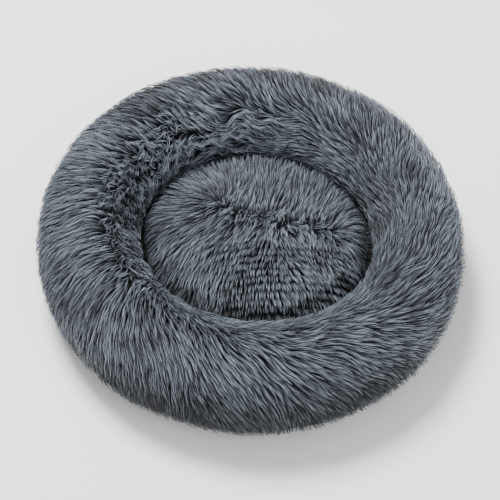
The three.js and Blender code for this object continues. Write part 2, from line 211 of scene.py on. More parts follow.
class PetBedSewing(bpy.types.PropertyGroup):
    """The inserts, the base, the seams and the zip."""

    stitch_length: length_property("Stitch length", "Length of one stitch", 3.6, 0.5 * MM)
    stitch_gap: length_property("Stitch gap", "Between two stitches", 1.2, 0.1 * MM)
    thread_width: length_property("Thread width", "Thickness of the sewing thread", 0.55)
    dot_width: length_property("Dot width", "Width of a grip dot under the base", 3.2)
    dot_height: length_property("Dot height", "Height of a grip dot, which stands on the floor", 0.5)
    dot_spacing: length_property("Dot spacing", "Between the middles of two grip dots", 9.5, 4 * MM)
    tooth_pitch: length_property("Tooth pitch", "From one zip tooth to the next on the same side", 6, MM)
    plump_pressure: FloatProperty(
        name="Plump pressure", description="Pressure that fills the casings", default=4.0
    )
    plump_frames: IntProperty(
        name="Plump frames", description="Steps of the cloth simulation", default=16, min=2
    )
    base_colour: colour_property("Base colour", "Coated woven cloth under the bed", "3c3e43")
    dot_colour: colour_property("Dot colour", "Rubber grip dots", "232427")
    binding_colour: colour_property("Binding colour", "Tapes that cover the seams", "33353a")
    thread_colour: colour_property("Thread colour", "Sewing thread", "6b6f77")
    casing_colour: colour_property("Casing colour", "Cloth of the two inserts", "d9d8d3")
    filling_colour: colour_property("Filling colour", "Fibre in the two inserts", "f1f0ec")
    closing_colour: colour_property("Closing tape colour", "Tape that closes a casing", "b9b8b2")
    zip_tape_colour: colour_property("Zip tape colour", "Knitted tape of the zip", "35373c")
    chain_colour: colour_property("Zip teeth colour", "Moulded teeth of the zip", "2a2c30")
    metal_colour: colour_property("Zip metal colour", "Painted slider, tab and stops", "1f2023")
    label_colour: colour_property("Label colour", "Blank label under the base", "e9e8e4")


class PetBedStage(bpy.types.PropertyGroup):
    """The floor, the lights and the camera."""

    camera_distance: length_property("Camera distance", "From the camera to the middle of the bed", 2400)
    camera_elevation: FloatProperty(
        name="Camera elevation", description="Angle of the camera above the floor",
        default=math.radians(52.89), subtype="ANGLE",
    )
    focal_length: FloatProperty(
        name="Focal length", description="Lens of the camera on a 36 mm sensor, in millimetres", default=122.9
    )
    floor_colour: colour_property("Floor colour", "Pale painted floor", "fafafa")


# Shapes


def fading(value, low, high):
    """A smooth step from 0 at low to 1 at high."""
    share = np.clip((value - low) / (high - low), 0, 1)
    return share * share * (3 - 2 * share)


def unit(vectors):
    """Vectors of length one."""
    return vectors / np.maximum(np.linalg.norm(vectors, axis=-1, keepdims=True), 1e-9)


def on_turn(turn, radius_height):
    """Points at a turn, radius and height."""
    radius, height = radius_height
    return np.stack([radius * np.cos(turn), radius * np.sin(turn), height + 0 * turn], -1)


def round_turns(count):
    """Even places round the bed."""
    return np.linspace(0, FULL_TURN, count, endpoint=False)


def read_grid(grid, turn, across, cells, eased=False):
    """A value between the points of a grid that meets itself round the bed, and ends across it."""
    rows, columns = grid.shape
    u = np.asarray(turn) / FULL_TURN % 1 * rows
    v = np.clip(across, 0, 1) * cells
    i, j = np.floor(u).astype(int), np.minimum(np.floor(v).astype(int), columns - 2)
    fu, fv = u - i, v - j
    if eased:
        fu, fv = fading(fu, 0, 1), fading(fv, 0, 1)
    i, after = i % rows, (i + 1) % rows
    near, far = (grid[i, k] * (1 - fu) + grid[after, k] * fu for k in (j, j + 1))
    return near * (1 - fv) + far * fv


def smooth_noise(turn, across, turn_cells, across_cells, seed):
    """Seeded noise from -1 to 1 over a turn and a share across it, which meets itself round the bed."""
    grid = np.random.default_rng(seed).uniform(-1, 1, (turn_cells, across_cells + 2))
    return read_grid(grid, turn, across, across_cells, True)


settled = {}  # how far below its full shape each insert's stuffing has settled, by turn and section


def rim_relief(turn, angle):
    """How far the rim's stuffing lies inside its full shape, as a length below zero."""
    grid = settled["rim"]
    return read_grid(grid, turn, (angle - SECTION_START) / FULL_TURN, grid.shape[1] - 1)


def seat_relief(turn, share):
    """The same for the seat's pad, from its middle at share 0 to its edge at 1."""
    grid = settled["seat"]
    return read_grid(grid, turn, share + 0 * turn, grid.shape[1] - 1)


def rim_place(turn):
    """Radius of the rim's middle line, half its width and its height at one place round the bed."""
    outer = BED_DIAMETER / 2 * (1 + OUTLINE_WAVE * np.cos(2 * turn + math.pi / 2))
    half_width = RIM_WIDTH / 2 - RIM_SWAY / 2 * np.cos(turn)
    crest = BED_HEIGHT - CREST_DIP / 2 * (1 - np.cos(CREST_WAVES * (turn - CREST_TURN)))
    return outer - half_width, half_width, crest


def pile_point(turn, angle):
    """Radius and height of the rim's pile surface."""
    middle, half_width, crest = rim_place(turn)
    return middle + half_width * np.cos(angle), crest / 2 * (1 + np.sin(angle))


def insert_point(turn, angle, outside):
    """Radius and height of the rim insert's surface, or of one outside it."""
    middle, half_width, crest = rim_place(turn)
    top = crest - COVER - FIT_GAP
    half_height = (top - PANEL_CLOTH - FIT_GAP) / (1 + math.sin(REST_ANGLE))
    half_width = half_width - COVER - FIT_GAP
    return (
        middle + (half_width + outside) * np.cos(angle),
        top - half_height + (half_height + outside) * np.sin(angle),
    )


def seat_edge(turn, inset):
    """Radius of the seat's side, or of one inside it."""
    return pile_point(turn, CREASE_SIDE_ANGLE)[0] - CREASE_GAP - inset


def seat_point(turn, share, inset, drop):
    """A point of the seat's crown, from its middle at share 0 to its edge at 1."""
    level = BED_HEIGHT / 2 * (1 - share) + rim_place(turn)[2] / 2 * share
    rise = SEAT_RISE * np.clip(1 - share**2, 0, 1) ** CROWN_POWER
    point = on_turn(turn, (seat_edge(turn, inset) * share, level + rise - drop + seat_relief(turn, share)))
    point[..., :2] += CROWN * (1 - share)
    return point


def crown_point(drop):
    """The single point at the middle of the seat's crown, this far below the pile's surface."""
    return np.array([[*CROWN, BED_HEIGHT / 2 + SEAT_RISE - drop + seat_relief(0.0, 0.0)]])


def seat_hem(turn):
    """Radius and height where the seat's panel ends in the crease."""
    side, seam = (np.stack(pile_point(turn, a), -1) for a in (CREASE_SIDE_ANGLE, CREASE_SEAM_ANGLE))
    return np.moveaxis(side * (1 - SEAT_HEM) + seam * SEAT_HEM, -1, 0)


def add_object(name, data):
    """A new object in the scene with this data."""
    obj = bpy.data.objects.new(name, data)
    bpy.context.scene.collection.objects.link(obj)
    return obj


def place_mesh(name, corners, faces, edges=()):
    """A new object in the scene from corners and faces or edges, with smooth faces."""
    mesh = bpy.data.meshes.new(name)
    mesh.from_pydata([tuple(c) for c in np.asarray(corners, float).reshape(-1, 3)], edges, faces)
    mesh.shade_smooth()
    mesh.update()
    return add_object(name, mesh)


def woven_faces(rows, columns, rows_meet, columns_meet):
    """Four-sided faces over a grid of points, which may meet itself in either direction."""
    faces = []
    for i in range(rows if rows_meet else rows - 1):
        for j in range(columns if columns_meet else columns - 1):
            i2, j2 = (i + 1) % rows, (j + 1) % columns
            faces.append((i * columns + j, i2 * columns + j, i2 * columns + j2, i * columns + j2))
    return faces


def crown_faces(rings, count):
    """Faces from a single first point over rings of points."""
    faces = [(0, 1 + j, 1 + (j + 1) % count) for j in range(count)]
    return faces + [tuple(1 + v for v in f) for f in woven_faces(rings, count, False, True)]


def face_outwards(obj):
    """Turns all faces of a closed body outwards."""
    work = bmesh.new()
    work.from_mesh(obj.data)
    bmesh.ops.recalc_face_normals(work, faces=work.faces)
    work.to_mesh(obj.data)
    work.free()
    return obj


def slab_mesh(name, lower, upper):
    """A closed thin body between two grids of points that don't meet themselves."""
    rows, columns = lower.shape[:2]
    total = rows * columns
    sheet = woven_faces(rows, columns, False, False)
    faces = [f[::-1] for f in sheet] + [tuple(v + total for v in f) for f in sheet]
    border = [*range(columns)]
    border += [i * columns + columns - 1 for i in range(1, rows)]
    border += [(rows - 1) * columns + j for j in range(columns - 2, -1, -1)]
    border += [i * columns for i in range(rows - 2, 0, -1)]
    faces += [(b, a, a + total, b + total) for a, b in zip(border, border[1:] + border[:1])]
    return face_outwards(place_mesh(name, [*lower.reshape(-1, 3), *upper.reshape(-1, 3)], faces))


def domed_mesh(name, first, rings, last):
    """A closed body of rings of points between a first and a last single point."""
    total, count = rings.shape[:2]
    end = 1 + total * count
    faces = crown_faces(total, count)
    faces += [(end, end - count + (j + 1) % count, end - count + j) for j in range(count)]
    return face_outwards(place_mesh(name, np.vstack([first, rings.reshape(-1, 3), last]), faces))


def ring_mesh(name, loops):
    """A closed ring of loops of points round the bed."""
    faces = woven_faces(len(loops[0]), len(loops), True, True)
    return face_outwards(place_mesh(name, np.stack(loops, 1), faces))


def rounded_block(name, low, high, radius):
    """A block between two corners with rounded edges."""
    work = bmesh.new()
    bmesh.ops.create_cube(work, size=1)
    for vertex in work.verts:
        for k in range(3):
            vertex.co[k] = high[k] if vertex.co[k] > 0 else low[k]
    bmesh.ops.bevel(work, geom=work.edges[:], offset=radius, segments=2, profile=0.5, affect="EDGES")
    block = place_mesh(name, [], [])
    work.to_mesh(block.data)
    work.free()
    return block


def thin_strip(name, low, high, edge):
    """A thin flat piece between two corners, with its edges turned in."""
    x, y = (np.linspace(low[k], high[k], 12) for k in (0, 1))
    grid = np.stack(np.meshgrid(x, y, indexing="ij"), -1)
    rim = np.minimum(grid - low[:2], np.array(high[:2]) - grid).min(-1)
    turned_in = edge * (1 - fading(rim, 0, MM))
    lower, upper = (
        np.concatenate([grid, height[..., None]], -1) for height in (low.z + turned_in, high.z - turned_in)
    )
    return slab_mesh(name, lower, upper)


def set_point_values(mesh, vectors=None, **numbers):
    """Stores vectors and numbers for each corner of a mesh, by name."""
    for kind, key, values in (("FLOAT_VECTOR", "vector", vectors or {}), ("FLOAT", "value", numbers)):
        for name, value in values.items():
            attribute = mesh.attributes.new(name, kind, "POINT")
            attribute.data.foreach_set(key, np.asarray(value, np.float32).ravel())


def set_sectors(mesh, sectors):
    """Says for each face which piece of pile grows on it."""
    mesh.attributes.new("sector", "INT", "FACE").data.foreach_set("value", np.asarray(sectors, np.int32))


# Nodes

# The kinds of node and of data that come up most
MATH, VECTOR_MATH, MIX = "ShaderNodeMath", "ShaderNodeVectorMath", "ShaderNodeMix"
RANDOM, COMPARE, COMBINE = "FunctionNodeRandomValue", "FunctionNodeCompare", "ShaderNodeCombineXYZ"
READ, STORE = "GeometryNodeInputNamedAttribute", "GeometryNodeStoreNamedAttribute"
BY_INDEX, BY_PLACE = "GeometryNodeSampleIndex", "GeometryNodeSampleNearestSurface"
SCATTER, COPIES = "GeometryNodeDistributePointsOnFaces", "GeometryNodeInstanceOnPoints"
CIRCLE, TUBE = "GeometryNodeCurvePrimitiveCircle", "GeometryNodeCurveToMesh"
MOVE = "GeometryNodeSetPosition"
NUMBER, VECTOR = {"data_type": "FLOAT"}, {"data_type": "FLOAT_VECTOR"}


def find_socket(sockets, key):
    """A shown socket by its name, or by its place among the shown ones."""
    shown = [s for s in sockets if s.enabled]
    return shown[key] if isinstance(key, int) else next(s for s in shown if s.name == key)


def add_node(tree, kind, *values, **settings):
    """Adds a node, sets its settings, and sets or links its sockets, in order or from a dict by name.

    A node given as a value stands for its first output, and a pair of a node and a name for that output.
    """
    node = tree.nodes.new(kind)
    for name, value in settings.items():
        setattr(node, name, value)
    sockets = {}
    for place, value in enumerate(values):
        sockets.update(value if isinstance(value, dict) else {place: value})
    for key, value in sockets.items():
        socket = find_socket(node.inputs, key)
        if isinstance(value, tuple) and isinstance(value[0], bpy.types.Node):
            value = find_socket(value[0].outputs, value[1])
        elif isinstance(value, bpy.types.Node):
            value = find_socket(value.outputs, 0)
        if isinstance(value, bpy.types.NodeSocket):
            tree.links.new(value, socket)
        else:
            socket.default_value = value
    return node


def start_tree(name, **inputs):
    """A geometry tree with inputs named by kind, the geometry first. Returns it, its adder and the inputs."""
    tree = bpy.data.node_groups.new(name, "GeometryNodeTree")
    tree.interface.new_socket("Geometry", in_out="OUTPUT", socket_type="NodeSocketGeometry")
    for kind, labels in inputs.items():
        for label in labels:
            tree.interface.new_socket(label, in_out="INPUT", socket_type="NodeSocket" + kind)
    return tree, partial(add_node, tree), tree.nodes.new("NodeGroupInput").outputs[:-1]


def finish_tree(tree, result, material):
    """Ends a tree with Realize Instances and Set Material."""
    real = add_node(tree, "GeometryNodeRealizeInstances", result)
    dressed = add_node(tree, "GeometryNodeSetMaterial", {"Geometry": real, "Material": material})
    add_node(tree, "NodeGroupOutput", dressed)
    return tree


def grow(obj, tree, group, values):
    """Runs a geometry tree on an object, and keeps what it makes as a plain mesh.

    An input of the tree takes the value with its label, or else the property with its label.
    """
    values = {size.name: getattr(group, size.identifier) for size in group.bl_rna.properties} | values
    modifier = obj.modifiers.new(tree.name, "NODES")
    modifier.node_group = tree
    for item in tree.interface.items_tree:
        if item.item_type == "SOCKET" and item.in_out == "INPUT" and item.name in values:
            modifier[item.identifier] = values[item.name]
    graph = bpy.context.evaluated_depsgraph_get()
    made = bpy.data.meshes.new_from_object(
        obj.evaluated_get(graph), preserve_all_data_layers=True, depsgraph=graph
    )
    obj.modifiers.remove(modifier)
    ground, obj.data = obj.data, made
    made.name = obj.name
    if ground.users == 0:
        bpy.data.meshes.remove(ground)
    if not made.polygons:
        raise RuntimeError(f"{obj.name} has no faces")
    return obj


def line_tree():
    """Lays a line from each root along the skin, step by step as the pile is combed."""
    tree, add, (skin, roots, points, seed, length, own_way) = start_tree(
        "Lines laid as combed", Geometry=("Skin", "Roots"), Int=("Points", "Seed"),
        Float=("Length", "Own way"),
    )
    line = add("GeometryNodeCurvePrimitiveLine", {"End": (0.0, 0.0, 1.0)})
    line = add("GeometryNodeResampleCurve", {"Curve": line, "Count": points})
    lines = add("GeometryNodeRealizeInstances", add(COPIES, {"Points": roots, "Instance": line}))
    place = add("GeometryNodeCurveOfPoint")
    one = (place, "Curve Index")
    position = add("GeometryNodeInputPosition")
    reach, tousle = (add(READ, name, **NUMBER) for name in ("reach", "tousle"))
    root, reach, tousle = (
        add(BY_INDEX, {"Geometry": roots, "Value": value, "Index": one}, **kind)
        for value, kind in ((position, VECTOR), (reach, NUMBER), (tousle, NUMBER))
    )
    comb, out = (
        add(BY_PLACE, {"Mesh": skin, "Value": way, "Sample Position": position}, **VECTOR)
        for way in (add(READ, name, **VECTOR) for name in ("comb", "out"))
    )
    lines = add(MOVE, {"Geometry": lines, "Position": root})
    luck = add(RANDOM, {"Min": 0.7, "Max": 1.15, "ID": one, "Seed": seed})
    steps = add(MATH, points, 1.0, operation="SUBTRACT")
    step = reach
    for operation, number in (("MULTIPLY", luck), ("MULTIPLY", length), ("DIVIDE", steps)):
        step = add(MATH, step, number, operation=operation)
    # Where the pile is tousled, each line goes its own way to one side of the comb's
    own_seed = add(MATH, seed, 40.0, operation="ADD")
    own_turn = add(RANDOM, {"Min": -1.0, "Max": 1.0, "ID": one, "Seed": own_seed})
    for number in (tousle, own_way):
        own_turn = add(MATH, own_turn, number, operation="MULTIPLY")
    comb = add(VECTOR_MATH, comb, operation="NORMALIZE")
    comb = add("ShaderNodeVectorRotate", {"Vector": comb, "Axis": out, "Angle": own_turn})
    ahead = add(VECTOR_MATH, comb, {"Scale": step}, operation="SCALE")
    ahead = add(VECTOR_MATH, position, ahead, operation="ADD")
    ahead = add(BY_PLACE, {"Mesh": skin, "Value": position, "Sample Position": ahead}, **VECTOR)
    first, last = (tree.nodes.new(f"GeometryNodeRepeat{end}") for end in ("Input", "Output"))
    first.pair_with_output(last)
    tree.links.new(steps.outputs[0], first.inputs["Iterations"])
    tree.links.new(lines.outputs[0], first.inputs["Geometry"])
    further = add(
        COMPARE, (place, "Index in Curve"), (first, "Iteration"), data_type="INT", operation="GREATER_THAN"
    )
    moved = add(MOVE, {"Geometry": (first, "Geometry"), "Selection": further, "Position": ahead})
    tree.links.new(moved.outputs[0], last.inputs["Geometry"])
    add("NodeGroupOutput", (last, "Geometry"))
    return tree


def pile_tree(lines):
    """Long pile: strands laid over a skin as combed, drawn into tufts, raised and turned into tubes."""
    tree, add, given = start_tree(
        "Long plush pile", Geometry=("Skin",), Int=("Sector", "Strand points", "Seed"),
        Float=(
            "Strands", "Tuft spacing", "Strand length", "Strand width", "Tuft pull", "Wave height",
            "Wave length",
        ),
        Material=("Material",),
    )
    skin, sector, points, seed, density, spacing, length, width, pull, *wave_size, material = given
    wave_height, wave_length = wave_size
    position = add("GeometryNodeInputPosition")
    chosen = add(
        COMPARE, add(READ, "sector", data_type="INT"), sector, data_type="INT", operation="EQUAL"
    )
    cover, rows, depth, shade = (add(READ, name, **NUMBER) for name in ("cover", "rows", "depth", "shade"))
    seed = add(MATH, sector, 31.0, seed, operation="MULTIPLY_ADD")

    # Where the knitted rows show, a root moves back to the row that it is knitted in
    parts = add("ShaderNodeSeparateXYZ", position)
    level = add(MATH, (parts, "X"), ROW_SLANT, (parts, "Y"), operation="MULTIPLY_ADD")
    row = add(MATH, level, ROW_SPACING, operation="SNAP")
    for operation, number in (("SUBTRACT", level), ("ADD", ROW_SPACING), ("MULTIPLY", rows)):
        row = add(MATH, row, number, operation=operation)
    row = add(VECTOR_MATH, position, add(COMBINE, {"Y": row}), operation="ADD")
    row = add(BY_PLACE, {"Mesh": skin, "Value": position, "Sample Position": row}, **VECTOR)
    density = add(MATH, density, cover, operation="MULTIPLY")
    packed = add(MATH, 2.0, add(MATH, spacing, 2.0, operation="POWER"), operation="DIVIDE")
    tuft_seed = add(MATH, seed, 1.0, operation="ADD")
    roots = add(SCATTER, {"Mesh": skin, "Selection": chosen, "Density": density, "Seed": seed})
    tufts = add(
        SCATTER,
        {"Mesh": skin, "Selection": chosen, "Distance Min": spacing, "Density Max": packed,
         "Seed": tuft_seed},
        distribute_method="POISSON",
    )
    roots, tufts = (add(MOVE, {"Geometry": (found, "Points"), "Position": row}) for found in (roots, tufts))
    strands, tuft_lines = (
        add(
            "GeometryNodeGroup",
            {"Skin": skin, "Roots": found, "Points": points, "Length": length, "Own way": own_way,
             "Seed": add(MATH, seed, extra, operation="ADD")},
            node_tree=lines,
        )
        for found, extra, own_way in ((roots, 2.0, 0.15), (tufts, 3.0, 1.0))
    )
    place = add("GeometryNodeCurveOfPoint")
    strand, on_strand = (place, "Curve Index"), (place, "Index in Curve")
    along = add(MATH, on_strand, add(MATH, points, 1.0, operation="SUBTRACT"), operation="DIVIDE")
    root, shade = (
        add(BY_INDEX, {"Geometry": roots, "Value": value, "Index": strand}, **kind)
        for value, kind in ((position, VECTOR), (shade, NUMBER))
    )
    tuft = add("GeometryNodeSampleNearest", {"Geometry": tufts, "Sample Position": root})

    # What differs by chance from tuft to tuft or strand to strand: least, most and whose it is
    hold, layer, lift, phase, own_phase, dye, own_tone_and_height_shade, girth, own_lift = (
        add(RANDOM, {"Min": least, "Max": most, "ID": whose, "Seed": draw})
        for draw, (least, most, whose) in enumerate((
            (0.7, 1.0, strand), (0.83, 1.09, tuft), (0.0, 1.0, strand), (0.0, FULL_TURN, tuft),
            (0.0, 1.4, strand), (-0.09, 0.09, tuft), (-0.38, -0.14, strand), (0.75, 1.15, strand),
            (-0.3, -0.2, strand),
        ), 11)
    )
    on_tuft = add(MATH, tuft, points, on_strand, operation="MULTIPLY_ADD")
    on_tuft = add(BY_INDEX, {"Geometry": tuft_lines, "Value": position, "Index": on_tuft}, **VECTOR)
    drawn = add(MATH, along, 0.8, operation="POWER")
    for number in (pull, hold):
        drawn = add(MATH, drawn, number, operation="MULTIPLY")
    together = add(MIX, {"Factor": drawn, "A": position, "B": on_tuft}, data_type="VECTOR")
    strands = add(MOVE, {"Geometry": strands, "Position": together})

    # The pile's height along a strand: a third of the strands lie on top and catch the light
    out = add(READ, "out", **VECTOR)
    out, depth = (
        add(BY_PLACE, {"Mesh": skin, "Value": value, "Sample Position": position}, **kind)
        for value, kind in ((out, VECTOR), (depth, NUMBER))
    )
    out = add(VECTOR_MATH, out, operation="NORMALIZE")
    rise, taper = (add("ShaderNodeFloatCurve", {"Value": along}) for _ in range(2))
    for node, (start, *between, end) in ((rise, RISE), (taper, TAPER)):
        curve = node.mapping.curves[0]
        curve.points[0].location, curve.points[1].location = start, end
        for spot in between:
            curve.points.new(*spot)
        node.mapping.update()
    lift = add("ShaderNodeMapRange", {"Value": lift, "From Min": 0.55, "From Max": 0.8})
    stray = add(MATH, lift, 0.34, own_lift, operation="MULTIPLY_ADD")
    height = add(MATH, layer, stray, operation="ADD")
    for number in (rise, depth):
        height = add(MATH, height, number, operation="MULTIPLY")
    up = add(VECTOR_MATH, out, {"Scale": height}, operation="SCALE")

    # The waves of a tuft, to its sides
    side = add(VECTOR_MATH, out, add("GeometryNodeInputTangent"), operation="CROSS_PRODUCT")
    side = add(VECTOR_MATH, side, operation="NORMALIZE")
    angle = add(MATH, length, wave_length, operation="DIVIDE")
    for operation, number in (
        ("MULTIPLY", FULL_TURN), ("MULTIPLY", along), ("ADD", phase), ("ADD", own_phase),
    ):
        angle = add(MATH, angle, number, operation=operation)
    wave = add(MATH, angle, operation="SINE")
    for number in (wave_height, add(MATH, along, operation="SQRT")):
        wave = add(MATH, wave, number, operation="MULTIPLY")
    across = add(VECTOR_MATH, side, {"Scale": wave}, operation="SCALE")
    offset = add(VECTOR_MATH, up, across, operation="ADD")
    strands = add(MOVE, {"Geometry": strands, "Offset": offset})
    above_floor = add(VECTOR_MATH, position, (-10.0, -10.0, FLOOR_CLEARANCE), operation="MAXIMUM")
    strands = add(MOVE, {"Geometry": strands, "Position": above_floor})

    # A strand's painted shade, which the material reads from its map: the skin's painted shade, patches and
    # tufts of random tone, and strands that lie low painted darker than those on top
    patch = add("ShaderNodeTexNoise", {"Vector": root, "Scale": PATCH_SCALE, "Detail": 2.0})
    patch = add(MATH, patch, 0.5, operation="SUBTRACT")
    # Random tone for each strand, plus painted shade: strands that lie low are darker, those on top lighter
    own_tone_and_height_shade = add(MATH, lift, 0.5, own_tone_and_height_shade, operation="MULTIPLY_ADD")
    for operation, number in (
        ("ADD", patch), ("ADD", add(MATH, dye, own_tone_and_height_shade, operation="ADD")), ("MAXIMUM", LEAST_SHADE),
        ("MINIMUM", MOST_SHADE),
    ):
        shade = add(MATH, shade, number, operation=operation)
    for name, value in (("shade", shade), ("along", along)):
        strands = add(STORE, {"Geometry": strands, "Name": name, "Value": value})

    # The tube of a strand, widest a third of the way up and fine at its tip, thicker than a real one
    for number in (taper, width):
        girth = add(MATH, girth, number, operation="MULTIPLY")
    profile = add(CIRCLE, {"Resolution": 3, "Radius": 0.5})
    side_share = add("GeometryNodeSplineParameter")
    profile = add(STORE, {"Geometry": profile, "Name": "girth", "Value": side_share})
    tubes = add(TUBE, {"Curve": strands, "Profile Curve": profile, "Scale": girth, "Fill Caps": True})
    on_map = {}
    for name, size, start in (("along", 0.94, 0.03), ("girth", 0.02, add(READ, "shade", **NUMBER))):
        on_map[name] = add(MATH, add(READ, name, **NUMBER), size, start, operation="MULTIPLY_ADD")
    spot = add(COMBINE, {"X": on_map["along"], "Y": on_map["girth"]})
    tubes = add(
        STORE, {"Geometry": tubes, "Name": PILE_MAP, "Value": spot}, data_type="FLOAT2", domain="CORNER"
    )
    for name in ("along", "shade", "girth"):
        tubes = add("GeometryNodeRemoveAttribute", {"Geometry": tubes, "Name": name})
    tubes = add("GeometryNodeSetShadeSmooth", {"Geometry": tubes, "Shade Smooth": True})
    return finish_tree(tree, tubes, material)


def stitch_tree():
    """A row of stitches along a path: short arched threads, each lying along the path with its back up."""
    tree, add, (path, stitch_length, gap, width, material) = start_tree(
        "Row of stitches", Geometry=("Path",), Float=("Stitch length", "Stitch gap", "Thread width"),
        Material=("Material",),
    )
    pitch = add(MATH, stitch_length, gap, operation="ADD")
    path = add("GeometryNodeMeshToCurve", {"Mesh": path})
    path = add("GeometryNodeResampleCurve", {"Curve": path, "Length": pitch}, mode="LENGTH")
    start, end = (
        add(COMBINE, {"X": add(MATH, stitch_length, half, operation="MULTIPLY")}) for half in (-0.5, 0.5)
    )
    top = add(COMBINE, {"Z": width})
    thread = add(
        "GeometryNodeCurveQuadraticBezier", {"Resolution": 4, "Start": start, "Middle": top, "End": end}
    )
    profile = add(CIRCLE, {"Resolution": 5, "Radius": 0.5})
    thread = add(TUBE, {"Curve": thread, "Profile Curve": profile, "Scale": width, "Fill Caps": True})
    along, up = add("GeometryNodeInputTangent"), add(READ, "up", **VECTOR)
    turned = add("FunctionNodeAlignRotationToVector", {"Vector": along}, axis="X")
    turned = add(
        "FunctionNodeAlignRotationToVector", {"Rotation": turned, "Vector": up}, axis="Z", pivot_axis="X"
    )
    stitches = add(COPIES, {"Points": path, "Instance": thread, "Rotation": turned})
    return finish_tree(tree, stitches, material)


def dot_tree():
    """Grip dots: a low blunt cone at each point, with its narrow end on the floor."""
    tree, add, (places, width, height, material) = start_tree(
        "Grip dots", Geometry=("Places",), Float=("Dot width", "Dot height"), Material=("Material",)
    )
    top, foot = (add(MATH, width, share, operation="MULTIPLY") for share in (0.5, 0.36))
    dot = add(
        "GeometryNodeMeshCone", {"Vertices": 10, "Radius Top": top, "Radius Bottom": foot, "Depth": height}
    )
    return finish_tree(tree, add(COPIES, {"Points": places, "Instance": dot}), material)


def tooth_tree():
    """The teeth of one side of a zip, set along its bead at an even pitch."""
    tree, add, (bead, tooth, first, pitch, count, material) = start_tree(
        "Zip teeth", Geometry=("Bead",), Object=("Tooth",), Vector=("First tooth",), Float=("Tooth pitch",),
        Int=("Teeth",), Material=("Material",),
    )
    step = add(COMBINE, {"X": pitch})
    line = add("GeometryNodeMeshLine", {"Count": count, "Start Location": first, "Offset": step})
    tooth = add("GeometryNodeObjectInfo", {"Object": tooth})
    both = add("GeometryNodeJoinGeometry", add(COPIES, {"Points": line, "Instance": (tooth, "Geometry")}))
    tree.links.new(bead, both.inputs[0])
    return finish_tree(tree, both, material)


# Materials

PILE_FINISH = "Acrylic long pile, yarn dyed slate"
WAVE_PERIOD = 0.314  # of a Wave texture at scale 1
WEAR_SCALE = 22.0  # of the noise that wears cloth in patches about 45 mm wide


def lighter(colour, share):
    """A colour moved towards white by a share."""
    return tuple(c + (1 - c) * share for c in colour[:3]) + (1.0,)


def start_material(name):
    """An empty node material with this name, and its adder."""
    material = bpy.data.materials.new(name)
    material.use_nodes = True
    material.node_tree.nodes.clear()
    return material, partial(add_node, material.node_tree)


def end_material(material, add, sockets):
    """Ends a material with a shader that has these sockets."""
    add("ShaderNodeOutputMaterial", {"Surface": add("ShaderNodeBsdfPrincipled", sockets)})
    return material


def pile_material(plush):
    """Dyed acrylic pile gives the eye soft matt strands, pale at the tips and near black at the roots, where
    shade is painted in.
    """
    material, add = start_material(PILE_FINISH)
    parts = add("ShaderNodeSeparateXYZ", add("ShaderNodeUVMap", uv_map=PILE_MAP))
    # The strands darken from the tips to near black roots: painted shade where the pile hides its roots
    reach = add("ShaderNodeValToRGB", {"Fac": (parts, "X")})
    ramp = reach.color_ramp.elements
    ramp[0].position, ramp[0].color = 0.05, tuple(plush.root_shade_colour)
    ramp[1].position, ramp[1].color = 0.9, tuple(plush.tip_colour)
    ramp.new(0.4).color = tuple(plush.middle_colour)
    # The painted shade: tufts that lie deep are painted darker, and tufts that catch the light are painted
    # lighter
    light = add("ShaderNodeMapRange", {"Value": (parts, "Y"), "To Min": 0.05, "To Max": 1.55})
    colour = add(MIX, {"Factor": 1.0, "A": reach, "B": light}, data_type="RGBA", blend_type="MULTIPLY")
    return end_material(
        material, add,
        {"Base Color": colour, "Roughness": 0.5, "Specular IOR Level": 0.3, "Sheen Weight": 0.04,
         "Sheen Roughness": 0.45},
    )


def grained_material(name, colours, texture, bump, shader):
    """A surface with one pattern, which runs between two colours, stands up, and may change the gloss."""
    material, add = start_material(name)
    kind, pattern = texture
    grain = add("ShaderNodeTex" + kind, {"Vector": (add("ShaderNodeTexCoord"), "Object"), **pattern})
    colour = add(MIX, {"Factor": grain, "A": tuple(colours[0]), "B": tuple(colours[1])}, data_type="RGBA")
    if isinstance(shader["Roughness"], tuple):
        low, high = shader["Roughness"]
        shader["Roughness"] = add("ShaderNodeMapRange", {"Value": grain, "To Min": low, "To Max": high})
    bump = add("ShaderNodeBump", {"Height": grain, **bump})
    return end_material(material, add, {"Base Color": colour, "Normal": bump, **shader})


def smooth_material(name, colour, lighten, grain, roughness, depth):
    """A moulded or painted surface with a fine grain of this size in metres, drawn coarser than real ones."""
    return grained_material(
        name, (colour, lighter(colour, lighten)), ("Noise", {"Scale": 1 / grain, "Detail": 3.0}),
        {"Distance": depth, "Strength": 0.4}, {"Roughness": (roughness - 0.06, roughness + 0.08)},
    )


def woven_material(name, colour, lighten, thread, roughness, sheen=0.0, depth=0.15 * MM):
    """Cloth of crossing threads with this spacing in metres, a little lighter where a thread lies on top.

    Real threads are a third to half as far apart. These are as coarse as they need to be to show.
    """
    material, add = start_material(name)
    place = (add("ShaderNodeTexCoord"), "Object")
    warp, weft = (
        add(
            "ShaderNodeTexWave", {"Vector": place, "Scale": WAVE_PERIOD / (2 * thread), "Distortion": 0.4},
            bands_direction=direction,
        )
        for direction in "XY"
    )
    over = add(MATH, (warp, "Fac"), (weft, "Fac"), operation="MULTIPLY")
    worn = add("ShaderNodeTexNoise", {"Vector": place, "Scale": WEAR_SCALE, "Detail": 3.0})
    worn = add(MATH, worn, 0.3, operation="MULTIPLY")
    mixed = add(MATH, over, 0.7, worn, operation="MULTIPLY_ADD")
    shade = add(MIX, {"Factor": mixed, "A": tuple(colour), "B": lighter(colour, lighten)}, data_type="RGBA")
    bump = add("ShaderNodeBump", {"Height": over, "Distance": depth, "Strength": 0.7})
    return end_material(
        material, add,
        {"Base Color": shade, "Roughness": roughness, "Specular IOR Level": 0.25, "Sheen Weight": sheen,
         "Normal": bump},
    )


